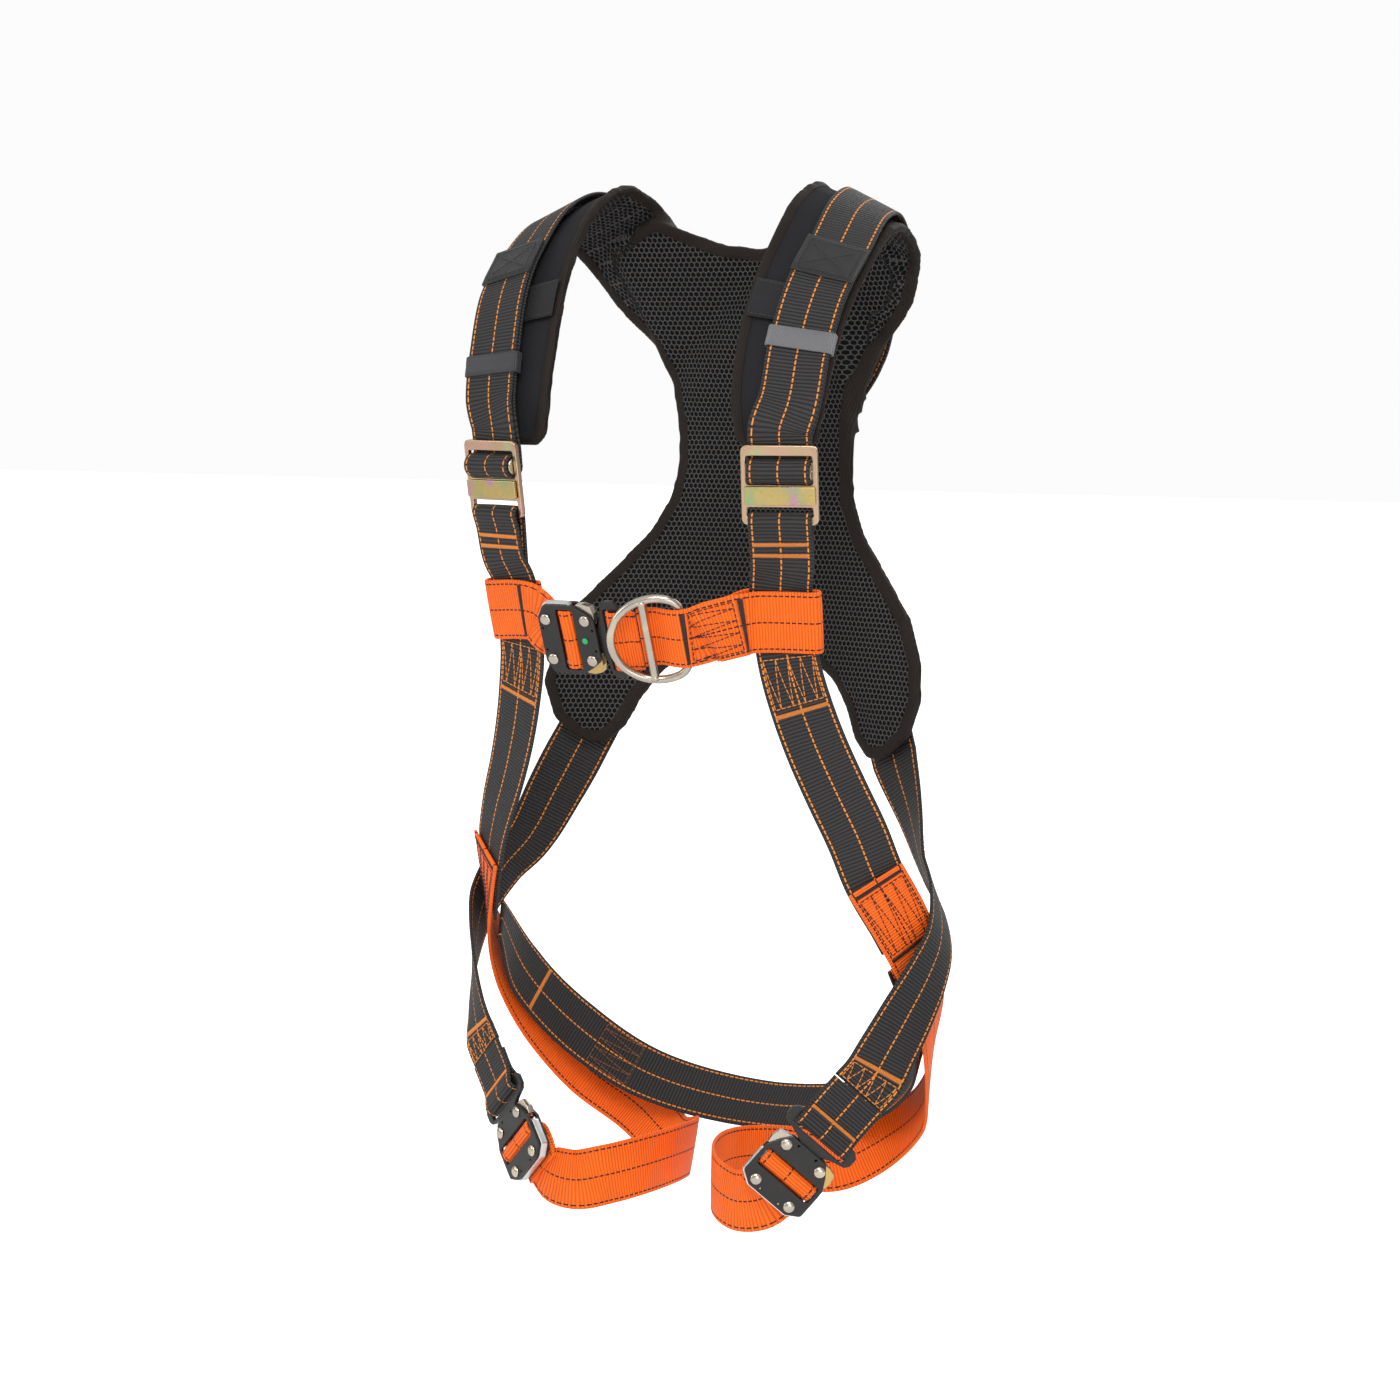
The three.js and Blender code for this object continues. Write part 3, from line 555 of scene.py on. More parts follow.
def weave_group():
    return shader_group(
        "Webbing weave",
        [("Colour", COLOUR, (0.02, 0.02, 0.02)), ("Tracer", COLOUR, (0.9, 0.3, 0.02)), ("Rib", FLOAT, 2.6),
         ("Column", FLOAT, 1.3), ("Depth", FLOAT, 0.8), ("Tracer share", FLOAT, 1.0), ("Roughness", FLOAT, 0.55)],
        [("Colour", COLOUR), ("Height", FLOAT), ("Roughness", FLOAT)], build_weave)


def build_cells(s, source):
    """Hexagonal cells on the lining's own two measures."""
    u = s.math("DIVIDE", s.math("ADD", s.attribute("across"), 1000.0), source["Cell"])
    v = s.math("DIVIDE", s.math("ADD", s.attribute("along"), 1000.0), source["Cell"])
    tall = math.sqrt(3.0)

    def local(shift):
        x = s.math("SUBTRACT", s.math("FLOORED_MODULO", s.math("SUBTRACT", u, 0.5 * shift), 1.0), 0.5)
        y = s.math("SUBTRACT", s.math("FLOORED_MODULO", s.math("SUBTRACT", v, 0.5 * tall * shift), tall), tall / 2)
        x, y = s.math("ABSOLUTE", x), s.math("ABSOLUTE", y)
        slanted = s.math("ADD", s.math("MULTIPLY", x, 0.5), s.math("MULTIPLY", y, tall / 2))
        return s.math("MAXIMUM", x, slanted)

    distance = s.math("MINIMUM", local(0), local(1))
    return {"Hole": s.ramp(distance, 0.40, 0.30), "Strand": s.ramp(distance, 0.33, 0.45)}


def cell_group():
    return shader_group("Hexagonal lining", [("Cell", FLOAT, 4.2)], [("Hole", FLOAT), ("Strand", FLOAT)], build_cells)


def build_wear(s, source):
    """Worn bright edges, smudges and fine scratches of a metal part."""
    place = s.place()
    smudge = s.noise(55.0, 4.0, place)
    stretched = s.add("ShaderNodeMapping", {"Vector": place, "Scale": (60.0, 900.0, 60.0)}).outputs[0]
    scratch = s.ramp(s.noise(1.0, 2.0, stretched, 0.7), 0.60, 0.72)
    point = s.add("ShaderNodeNewGeometry").outputs["Pointiness"]
    worn = s.ramp(s.math("ADD", point, s.math("MULTIPLY", smudge, 0.05)), 0.545, 0.60)
    edge = s.math("MULTIPLY", worn, source["Wear"])
    rough = s.math("ADD", source["Roughness"], s.math("MULTIPLY", s.math("SUBTRACT", smudge, 0.5), source["Smudge"]))
    rough = s.math("ADD", rough, s.math("MULTIPLY", scratch, 0.06))
    return {"Edge": edge, "Roughness": rough, "Height": s.math("MULTIPLY", scratch, -1.0), "Smudge": smudge}


def wear_group():
    return shader_group(
        "Metal wear", [("Wear", FLOAT, 0.5), ("Roughness", FLOAT, 0.3), ("Smudge", FLOAT, 0.25)],
        [("Edge", FLOAT), ("Roughness", FLOAT), ("Height", FLOAT), ("Smudge", FLOAT)], build_wear)


def new_material(name, **constants):
    """A material, its shader node and a short way to place nodes in it."""
    material = bpy.data.materials.new(name)
    material.use_nodes = True
    tree = material.node_tree
    shader = tree.nodes["Principled BSDF"]
    for key, value in constants.items():
        shader.inputs[key.replace("_", " ")].default_value = value
    return material, shader, Shader(tree)


def use_group(s, group, **values):
    node = s.add("ShaderNodeGroup", node_tree=group)
    for key, value in values.items():
        node.inputs[key.replace("_", " ")].default_value = value
    return node.outputs


def bump(s, shader, height, strength, distance):
    node = s.add("ShaderNodeBump", {"Strength": strength, "Distance": distance, "Height": height})
    s.tree.links.new(node.outputs[0], shader.inputs["Normal"])


def webbing_material(name, colour, tracer, share=1.0, rib=2.6, roughness=0.5, depth=1.35):
    if name in bpy.data.materials:
        return bpy.data.materials[name]
    material, shader, s = new_material(name, Sheen_Weight=0.04, Sheen_Roughness=0.4, Specular_IOR_Level=0.3)
    # depth scales the painted highlight on the rib tops and the painted shade in the grooves.
    found = use_group(s, weave_group(), Colour=(*colour, 1), Tracer=(*tracer, 1), Rib=rib, Tracer_share=share,
                      Roughness=roughness, Depth=depth)
    s.tree.links.new(found["Colour"], shader.inputs["Base Color"])
    s.tree.links.new(found["Roughness"], shader.inputs["Roughness"])
    bump(s, shader, found["Height"], 0.8, 0.0006)
    return material


def black_webbing():
    w = webbing_settings()
    return webbing_material("Black webbing", w.black, w.tracer)


def orange_webbing():
    w = webbing_settings()
    return webbing_material("Orange webbing", w.orange, w.dark_thread, 1.0, 2.2, depth=0.6)


def plain_tape(name, colour, roughness=0.7, rib=1.0):
    return webbing_material(name, colour, colour, 0.0, rib, roughness, 0.35)


def thread_material(name, colour):
    if name in bpy.data.materials:
        return bpy.data.materials[name]
    material, shader, s = new_material(name, Roughness=0.5, Sheen_Weight=0.05)
    fuzz = s.noise(900.0, 2.0, s.place())
    tone = s.mix(fuzz, tuple(c * 0.72 for c in colour), colour)
    s.tree.links.new(tone, shader.inputs["Base Color"])
    bump(s, shader, fuzz, 0.3, 0.0002)
    return material


def orange_thread():
    return thread_material("Orange thread", webbing_settings().tracer)


def dark_thread():
    return thread_material("Dark thread", webbing_settings().dark_thread)


def black_thread():
    return thread_material("Black thread", (0.03, 0.03, 0.03))


def metal_material(name, colour, roughness, wear=0.5, bright=None, metallic=1.0, tints=None, coat=0.0, smudge=0.25):
    """Metal with smudges, fine scratches and worn edges; tints drift over the surface."""
    if name in bpy.data.materials:
        return bpy.data.materials[name]
    material, shader, s = new_material(name, Metallic=metallic)
    found = use_group(s, wear_group(), Wear=wear, Roughness=roughness, Smudge=smudge)
    base = s.mix(found["Smudge"], tuple(c * 0.82 for c in colour), colour)
    for scale, low, high, tint in tints or ():
        drift = s.ramp(s.noise(scale, 2.0, s.place()), low, high)
        base = s.mix(drift, base, tint)
    edged = s.mix(found["Edge"], base, bright or tuple(min(1.0, c * 1.25) for c in colour))
    s.tree.links.new(edged, shader.inputs["Base Color"])
    s.tree.links.new(found["Roughness"], shader.inputs["Roughness"])
    if coat:
        shader.inputs["Coat Weight"].default_value = coat
        shader.inputs["Coat Roughness"].default_value = 0.25
    bump(s, shader, found["Height"], 0.12, 0.0002)
    return material


def bright_steel():
    return metal_material("Bright steel", bpy.context.scene.harness_metal.steel, 0.22, 0.4, smudge=0.2,
                          tints=((40.0, 0.5, 0.75, (0.72, 0.62, 0.46)),))


def spacer_steel():
    return metal_material("Spacer steel", (0.8, 0.8, 0.78), 0.4, 0.3)


def zinc_plate():
    return metal_material(
        "Zinc plate", bpy.context.scene.harness_metal.zinc, 0.3, 0.35,
        tints=((30.0, 0.48, 0.7, (0.66, 0.38, 0.32)), (44.0, 0.55, 0.78, (0.48, 0.50, 0.27))))


def slide_plate():
    return metal_material(
        "Slide bar zinc", (0.58, 0.44, 0.17), 0.26, 0.35,
        tints=((48.0, 0.45, 0.65, (0.33, 0.42, 0.22)), (60.0, 0.52, 0.7, (0.52, 0.30, 0.36))))


def coated_plate():
    return metal_material("Coated plate", bpy.context.scene.harness_metal.coated, 0.42, 0.35, (0.12, 0.11, 0.1),
                          metallic=0.2, coat=0.12)


def brass_metal():
    return metal_material("Brass catch", bpy.context.scene.harness_metal.brass, 0.3, 0.4)


def moulded_plastic(name, colour, roughness=0.45):
    if name in bpy.data.materials:
        return bpy.data.materials[name]
    material, shader, s = new_material(name, Specular_IOR_Level=0.45)
    grain = s.noise(1400.0, 2.0, s.place())
    broad = s.noise(60.0, 3.0, s.place())
    s.tree.links.new(s.mix(broad, tuple(c * 0.8 for c in colour), colour), shader.inputs["Base Color"])
    s.tree.links.new(s.math("MULTIPLY_ADD", broad, 0.15, roughness - 0.07), shader.inputs["Roughness"])
    bump(s, shader, grain, 0.15, 0.0002)
    return material


def pad_material():
    """Mesh lining inside, smooth shell outside and a ribbed binding round the edge."""
    p = bpy.context.scene.harness_pad
    material, shader, s = new_material("Back pad fabric", Specular_IOR_Level=0.14)
    cells = use_group(s, cell_group(), Cell=p.cell / MM)
    edge, inner = s.attribute("edge_distance"), s.attribute("inner")
    bound = s.ramp(edge, p.binding / MM + 0.5, p.binding / MM - 0.5)
    lining = s.ramp(inner, 0.4, 0.6)
    cloud = s.noise(45.0, 4.0, s.place())
    fine = s.noise(1500.0, 2.0, s.place())
    shell = s.mix(fine, tuple(c * 0.8 for c in p.shell), tuple(c * 1.3 for c in p.shell))
    mesh = s.mix(cells["Strand"], (0.001, 0.001, 0.0012), (0.085, 0.082, 0.08))
    cloth = s.mix(lining, shell, mesh)
    cloth = s.mix(s.math("MULTIPLY", cloud, 0.15), cloth, (0.03, 0.03, 0.032))
    rib = s.math("ABSOLUTE", s.math("SINE", s.math("MULTIPLY", edge, math.pi / 1.1)))
    tape = s.mix(rib, tuple(c * 0.7 for c in p.edge), tuple(c * 1.7 for c in p.edge))
    s.tree.links.new(s.mix(bound, cloth, tape), shader.inputs["Base Color"])
    rough = s.mix_value(bound, 0.85, 0.62)
    s.tree.links.new(rough, shader.inputs["Roughness"])
    relief = s.mix_value(lining, s.math("MULTIPLY", fine, 0.2), cells["Strand"])
    relief = s.mix_value(bound, relief, s.math("MULTIPLY_ADD", rib, 0.35, 0.8))
    bump(s, shader, relief, 0.8, 0.0008)
    return material


# Pieces.
def add_piece(name, mesh, material, body=BODY, nodes=()):
    """A new piece that rides on a body and stands for CAD nodes."""
    piece = bpy.data.objects.new(name, mesh)
    bpy.context.scene.collection.objects.link(piece)
    mesh.materials.clear()
    mesh.materials.append(material)
    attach(piece, body)
    if nodes:
        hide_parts(*nodes)
    return piece


def mirrored_mesh(mesh, name):
    twin = mesh.copy()
    twin.name = name
    twin.transform(Matrix.Diagonal((-1, 1, 1, 1)))
    twin.flip_normals()
    return twin


def add_pair(name, mesh, material, bodies=(BODY, BODY), replaces=True):
    """The left piece and its mirrored right twin."""
    pieces = []
    for side, body in zip(SIDES, bodies):
        own = mesh if side == "left" else mirrored_mesh(mesh, f"{name}_right")
        nodes = (f"{name}_{side}",) if replaces else ()
        pieces.append(add_piece(f"{name}_look_{side}", own, material, body, nodes))
    return pieces


def in_place(mesh, place):
    """Moves a mesh in metres from a fitting's own frame to its place."""
    matrix = place.copy()
    matrix.translation = place.translation * MM
    mesh.transform(matrix)
    outward(mesh)
    return mesh


def arc(cx, cy, radius, start, end, steps):
    angles = [math.radians(start + (end - start) * i / steps) for i in range(steps + 1)]
    return [(cx + radius * math.cos(a), cy + radius * math.sin(a)) for a in angles]


def circle(cx, cy, radius, steps=24):
    return arc(cx, cy, radius, 0, 360, steps)[:-1]


def rounded_rect(x0, x1, y0, y1, radius, steps=6):
    return (arc(x1 - radius, y0 + radius, radius, -90, 0, steps) + arc(x1 - radius, y1 - radius, radius, 0, 90, steps)
            + arc(x0 + radius, y1 - radius, radius, 90, 180, steps)
            + arc(x0 + radius, y0 + radius, radius, 180, 270, steps))


def filleted(corners, radius, steps=6):
    """A closed outline with each corner rounded, as far as its sides allow."""
    rounded = []
    count = len(corners)
    for i, corner in enumerate(corners):
        here = np.array(corner, float)
        before, after = np.array(corners[i - 1], float), np.array(corners[(i + 1) % count], float)
        a, b = before - here, after - here
        la, lb = np.linalg.norm(a), np.linalg.norm(b)
        a, b = a / la, b / lb
        half = math.acos(max(-1.0, min(1.0, float(a @ b)))) / 2
        cut = min(radius / math.tan(half), la * 0.45, lb * 0.45)
        p, q = here + a * cut, here + b * cut
        for k in range(steps + 1):
            t = k / steps
            rounded.append(tuple((1 - t) ** 2 * p + 2 * t * (1 - t) * here + t * t * q))
    return rounded


def even(half):
    """An outline that is the same on both sides of the X axis, from its +Y half."""
    return list(half) + [(x, -y) for x, y in reversed(half)]


def plate_mesh(name, outline, holes, low, high, bevel=0.4):
    """A flat plate with rounded edges, cut to an outline with holes."""
    curve = bpy.data.curves.new(name, "CURVE")
    curve.dimensions = "2D"
    curve.fill_mode = "BOTH"
    curve.bevel_mode = "ROUND"
    curve.bevel_depth = bevel * MM
    curve.bevel_resolution = 2
    curve.offset = -bevel * MM
    curve.extrude = ((high - low) / 2 - bevel) * MM
    for loop in [outline, *holes]:
        spline = curve.splines.new("POLY")
        spline.points.add(len(loop) - 1)
        for point, (x, y) in zip(spline.points, loop):
            point.co = (x * MM, y * MM, 0, 1)
        spline.use_cyclic_u = True
    mesh = evaluated_mesh(bpy.data.objects.new(name, curve))
    bpy.data.curves.remove(curve)
    mesh.name = name
    mesh.transform(Matrix.Translation((0, 0, (low + high) / 2 * MM)))
    shade_smooth(mesh)
    mesh.set_sharp_from_angle(angle=math.radians(50))
    return mesh


def lathe_mesh(name, profile, steps=32):
    """A turned part round the Z axis, from (radius, height) points that start and end on the axis."""
    rings = []
    for radius, height in profile[1:-1]:
        rings.append([(x, y, height) for x, y in circle(0, 0, radius, steps)])
    verts = [p for ring in rings for p in ring]
    faces = []
    for i in range(len(rings) - 1):
        faces += band(i * steps, (i + 1) * steps, steps)
    for index, ring, (_, height) in ((0, 0, profile[0]), (1, len(rings) - 1, profile[-1])):
        centre = len(verts)
        verts.append((0, 0, height))
        a = ring * steps
        faces += [(centre, a + j, a + (j + 1) % steps)[::(-1 if index == 0 else 1)] for j in range(steps)]
    mesh = mesh_from(name, verts, faces)
    outward(mesh)
    mesh.set_sharp_from_angle(angle=math.radians(40))
    return mesh


def wire_mesh(name, path, radius, sides=20, closed=True):
    """A round bar swept along a path in the XY plane."""
    path = np.array(path, float)
    if closed:
        tangents = np.roll(path, -1, axis=0) - np.roll(path, 1, axis=0)
    else:
        tangents = np.gradient(path, axis=0)
    tangents /= np.linalg.norm(tangents, axis=1)[:, None]
    radii = np.broadcast_to(radius, len(path))
    verts = []
    for point, tangent, size in zip(path, tangents, radii):
        side = np.array([-tangent[1], tangent[0], 0.0])
        for k in range(sides):
            a = 2 * math.pi * k / sides
            verts.append(np.array([*point[:2], 0.0]) + side * (size * math.cos(a))
                         + np.array([0, 0, size * math.sin(a)]))
    rings = [range(i * sides, (i + 1) * sides) for i in range(len(path))]
    mesh = mesh_from(name, verts, skin(rings, closed))
    outward(mesh)
    return mesh


def smooth_loop(points, steps=8):
    """A smooth closed line through points."""
    count = len(points)
    padded = [np.array([*points[i % count], 0.0]) for i in range(-2, count + 3)]
    line, _ = catmull_rom(padded, [steps] * (len(padded) - 1))
    return line[2 * steps:(2 + count) * steps]


def joined(name, meshes):
    """Several meshes as one."""
    holders = []
    for mesh in meshes:
        holder = bpy.data.objects.new(name, mesh)
        bpy.context.scene.collection.objects.link(holder)
        holders.append(holder)
    with bpy.context.temp_override(active_object=holders[0], selected_editable_objects=holders,
                                   object=holders[0], selected_objects=holders):
        bpy.ops.object.join()
    mesh = holders[0].data
    bpy.data.objects.remove(holders[0])
    mesh.name = name
    return mesh


# Courses of the straps.
SHOULDER_SPINE = [
    station(*row, thick=9) for row in (
        (107, -87, 116, 8, -4, 44), (107, -87.5, 124, 8, -2, 62), (107, -86, 150, 10, 4, 70),
        (108, -76, 185, 11, 11, 73), (111, -58, 222, 14, 22, 75), (114, -28, 257, 22, 38, 77),
        (114, 6, 281, 50, 61, 79), (111, 42, 286, 112, 62, 80), (104, 76, 267, 155, 42, 82),
        (90, 99, 235, 168, 20, 78), (70, 113, 200, 172, 2, 60))
]
STRAP_SIDE = (8, 9, 12, 13, 13, 12, 9, 6, 4, 0)

HIP_FRONT = station(159, -36, -188, 38, -6)
HIP_MIDDLE = station(168.5, -19, -218, 50, -5)
HIP_REAR = station(175, -3, -248, 65, -5)


def strap_on_pad(first, last, height):
    rows = []
    for i in range(first, last + 1):
        drop = -0.42 if 4 < i < 9 else 0.0
        base = lifted(SHOULDER_SPINE[i], height, Vector((1, 0, drop)) * STRAP_SIDE[i])
        rows.append((base[0], base[1], WIDTH, THICK))
    return rows


def shoulder_course():
    """Over the back and shoulder, down behind the adjuster, round its pin and back up as the tail."""
    over_back = [on_back(25, 122, STRAP_LIFT), on_back(48, 152, STRAP_LIFT), on_back(70, 184, STRAP_LIFT)]
    main = strap_on_pad(2, 9, STRAP_LIFT)[::-1]
    behind = [station_in(ADJUSTER, 34, -6.7, 90), station_in(ADJUSTER, 22, -7.6, 90)]
    roll = turned(round_bar(ADJUSTER, PIN_X, 0, 7.4, -80, -350, 14))
    tail = [*round_bar(ADJUSTER, 19.9, -1, 3, 180, 270, 4), station_in(ADJUSTER, 28, -4.1, -90),
            station_in(ADJUSTER, 38, -4, -90)]
    return over_back + main + behind + roll + tail + turned(strap_on_pad(2, 5, TAIL_LIFT))


def front_course():
    tail = [station_in(ADJUSTER, -62, -3, -90), station_in(ADJUSTER, -34, -4.6, -90)]
    roll = round_bar(ADJUSTER, -25, 0, 4.9, -90, 90, 8)
    down = [
        station_in(ADJUSTER, -36, 2.6, 90), station_in(ADJUSTER, -58, 0.1, 90),
        station(108.5, -84, 18, 15, -13), station(108, -79, -4, 15, -13), station(109, -72, -34, 16, -12),
        station(115, -65.5, -64, 19, -10), station(124, -58, -95, 23, -9), station(136, -50, -127, 28, -8),
        station(149, -43, -158, 33, -7), HIP_FRONT, HIP_MIDDLE, station(172.4, -11, -233, 57, -5)]
    return tail + roll + down


def bar_loop(place):
    return [
        station_in(place, -26, -10.8, 90), station_in(place, -9, -10.8, 90), station_in(place, 0, -9.6, 100),
        *round_bar(place, 0, 0, 5.3, -35, 205, 12, True),
        station_in(place, -6.2, -5.6, -30), station_in(place, -9.4, -7.9, -75), station_in(place, -14, -8.2, -90),
        station_in(place, -25, -8.1, -90)]


def leg_course():
    over_hip = [lifted(s, HIP_LAYER) for s in (HIP_FRONT, HIP_MIDDLE, HIP_REAR)]
    around = [
        station(178, 22, -290, 92, -8), station(165, 50, -334, 118, -16), station(143, 84, -378, 146, -25),
        station(110, 102, -406, 172, -27), station(68, 88, -429, 208, -18), station(36, 57, -421, 240, -10),
        station(21, 10, -415, 268, -4), station(28, -32, -416, 296, 0), station(46, -60, -420, 325, 0),
        station(68, -71, -424, 348, 0)]
    return over_hip + around + bar_loop(LEG_BUCKLE)


def back_course():
    over_pad = [on_back(25, 68, STRAP_LIFT), on_back(56, 20, STRAP_LIFT), on_back(88, -30, STRAP_LIFT),
                on_back(112, -72, STRAP_LIFT)]
    aside = [
        station(132, 56, -114, 160, -8), station(149, 46, -150, 136, -4), station(166, 33, -188, 114, 0),
        station(182, 22, -210, 98, -3), station(191.3, 6, -236, 85, -4), station(189, -9, -259, 71, -2),
        station(181, -26, -286, 55, 0), station(171, -39, -312, 42, 0)]
    return over_pad + aside + [station_in(LEG_BUCKLE, TONGUE_WEB_END + x, 0, 90) for x in (16, 1)]


def seat_course():
    left = [lifted(HIP_REAR, -HIP_LAYER), station(168, 30, -294, 104, -16), station(145, 70, -342, 138, -32),
            station(96, 98, -380, 163, -44)]
    return left + [station(0, 112, -397, 180, -50)] + flipped(left)[::-1]


def strap_loop(place, start, end):
    half = WIDTH / 2 + 0.6
    return [station_in(place, start, LOOP_GAP, 90), station_in(place, half - 2, LOOP_GAP, 90),
            *round_bar(place, half, 0, LOOP_GAP, 90, -90, 6),
            station_in(place, half - 2, -LOOP_GAP, -90), station_in(place, end, -LOOP_GAP, -90)]


def chest_left_course():
    front = [
        station_in(CHEST_RING, -5.5, -5.6, 92), station_in(CHEST_RING, 6, -5.4, 90),
        station_in(CHEST_RING, 16.5, 1.6, 100), station_in(CHEST_RING, 25.5, 5.2, 86),
        station_in(CHEST_RING, 36, 2.6, 82), station(62, -101, -12.5, 9, -17), station(84, -95, -6.5, 12, -13)]
    rear = [lifted(station(80, -96.2, -7.5, 11, -14), -LAYER), lifted(station(60, -101.5, -13, 9, -17), -LAYER)]
    return front + strap_loop(CHEST_LOOP, -18, -24) + turned(rear)


def chest_right_course():
    return flipped(strap_loop(CHEST_LOOP, -21, -24))[::-1] + bar_loop(CHEST_BUCKLE)


def tongue_course(place, end, tail_end):
    return [station_in(place, end, 0.9, 90), station_in(place, 50, 1.5, 90), station_in(place, 46, 3, 80),
            *round_bar(place, 39, 0, 4.9, 75, 285, 10),
            station_in(place, 46, -3, -80), station_in(place, 50, -1.5, -90), station_in(place, tail_end, -1.5, -90)]


def local(place, x, z=0.0):
    return place @ Vector((x, 0, z))


# Operators.
class HARNESS_OT_back_pad(bpy.types.Operator):
    """Build the back pad with its shoulder yokes, lining and edge binding"""

    bl_idname = "harness.back_pad"
    bl_label = "Back pad"

    def execute(self, context):
        settings = context.scene.harness_pad
        holder = bpy.data.objects.new("pad_form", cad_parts["back_pad"].data.copy())
        remesh = holder.modifiers.new("Remesh", "REMESH")
        remesh.mode = "VOXEL"
        remesh.voxel_size = settings.voxel
        mesh = evaluated_mesh(holder)
        shape_pad(mesh, settings)
        piece = add_piece("back_pad_look", mesh, pad_material(), BODY, ("back_pad",))
        return {"FINISHED"}


def vertex_array(mesh, key):
    values = np.empty(len(mesh.vertices) * 3)
    if key == "co":
        mesh.vertices.foreach_get("co", values)
    else:
        mesh.vertex_normals.foreach_get("vector", values)
    return values.reshape(-1, 3)


def smoothed(co, edges, passes, share):
    """Points moved towards the middle of their neighbours, and back out, so that the form keeps its size."""
    count = np.bincount(edges.ravel(), minlength=len(co)).astype(float)[:, None]
    here, there = np.concatenate([edges[:, 0], edges[:, 1]]), np.concatenate([edges[:, 1], edges[:, 0]])
    for i in range(passes):
        total = np.stack([np.bincount(here, co[there, axis], len(co)) for axis in range(3)], axis=1)
        step = share if i % 2 == 0 else -share * 1.03
        co = co + (total / count - co) * step
    return co


PANEL_HALF = ((0, 258), (30, 262), (54, 272), (74, 282), (112, 262), (126, 238), (111, 212), (94, 186), (82, 158),
              (75, 128), (72, 98), (76, 72), (89, 46), (113, 18), (140, -12), (154, -42), (157, -70), (148, -96),
              (130, -112), (112, -115), (98, -102), (88, -80), (72, -58), (42, -40), (0, -34))


def panel_distance(x, z):
    """Distance inside the back panel's outline, negative outside it."""
    loop = np.array(PANEL_HALF + tuple((-a, b) for a, b in PANEL_HALF[-2:0:-1]), float)
    nearest = np.full(len(x), 1e9)
    crossings = np.zeros(len(x), int)
    for (ax, az), (bx, bz) in zip(loop, np.roll(loop, -1, axis=0)):
        dx, dz = bx - ax, bz - az
        t = np.clip(((x - ax) * dx + (z - az) * dz) / (dx * dx + dz * dz), 0, 1)
        nearest = np.minimum(nearest, np.hypot(x - ax - t * dx, z - az - t * dz))
        spans = (az > z) != (bz > z)
        crossings += spans & (x < ax + (z - az) * dx / np.where(dz == 0, 1e-9, dz))
    return np.where(crossings % 2 == 1, nearest, -nearest)


def pad_measures(points, normals):
    """For each point of the pad: distance to its rim, whether it is on the lining, and the lining's measures."""
    folded = points.copy()
    folded[:, 0] = np.abs(points[:, 0])
    flipped_normals = normals.copy()
    flipped_normals[:, 0] *= np.sign(points[:, 0] + 1e-9)
    depth = np.array([back_depth(x, z) for x, z in folded[:, [0, 2]]])
    on_panel = np.abs(folded[:, 1] - depth) < PANEL_REACH
    panel = np.where(on_panel, panel_distance(folded[:, 0], folded[:, 2]), OUTSIDE)
    spine = Strap(SHOULDER_SPINE, 3.0)
    near = KDTree(len(spine.points))
    for k, point in enumerate(spine.points):
        near.insert(Vector(point), k)
    near.balance()
    found = np.array([near.find(Vector(p))[1] for p in folded])
    offset = folded - spine.points[found]
    aside = (offset * spine.sides[found]).sum(1)
    height = (offset * spine.faces[found]).sum(1)
    yoke = np.minimum(spine.widths[found] / 2 - np.abs(aside), spine.run[found] * 1.3 + 0.5)
    yoke = np.where(np.abs(height) < YOKE_REACH, yoke, OUTSIDE)
    use_yoke = yoke > panel
    edge = np.maximum(np.maximum(panel, yoke), 0)
    inner = np.where(use_yoke, (flipped_normals * spine.faces[found]).sum(1) < 0, normals[:, 1] < 0)
    slope = 0.0016 * folded[:, 0] ** 2 * np.sign(points[:, 0])
    across = np.where(use_yoke, aside * np.sign(points[:, 0]), points[:, 0] + slope * 0.3)
    along = np.where(use_yoke, spine.run[found], points[:, 2])
    return edge, inner, along, across


def shape_pad(mesh, settings):
    """Rounds the rim, marks lining and binding, and swells the padding inside the binding."""
    edges = np.empty(len(mesh.edges) * 2, int)
    mesh.edges.foreach_get("vertices", edges)
    edges = edges.reshape(-1, 2)
    co = smoothed(vertex_array(mesh, "co"), edges, SMOOTHING_PASSES, 0.6)
    mesh.vertices.foreach_set("co", co.ravel())
    mesh.update()
    normals = vertex_array(mesh, "normal")
    edge, inner, along, across = pad_measures(co / MM, normals)
    edge = smoothed(np.repeat(edge[:, None], 3, axis=1), edges, 6, 0.5)[:, 0]
    binding = settings.binding / MM
    swell = np.clip((edge - binding) / 16, 0, 1) ** 0.6 * (settings.crown / MM + 0.4)
    raised = np.where(edge < binding, 0.5, -0.4 + swell)
    raised = smoothed(np.repeat(raised[:, None], 3, axis=1), edges, 2, 0.35)[:, 0]
    raised *= np.where(inner, 1.0, 0.45)
    mesh.vertices.foreach_set("co", (co + normals * raised[:, None] * MM).ravel())
    for key, values in (("along", along), ("across", across), ("edge_distance", edge), ("inner", inner)):
        set_attribute(mesh, key, values)
    shade_smooth(mesh)
    mesh.update()


class HARNESS_OT_shoulder_webbing(bpy.types.Operator):
    """Build the shoulder webbing, its folded tails, cross bands and elastic keepers"""

    bl_idname = "harness.shoulder_webbing"
    bl_label = "Shoulder webbing"

    def execute(self, context):
        w = webbing_settings()
        strap = Strap(shoulder_course(), w.step / MM)
        add_pair("shoulder_strap", strap_mesh("shoulder_strap", strap), black_webbing())
        tail_end(strap)
        cross_band()
        add_keepers()
        return {"FINISHED"}


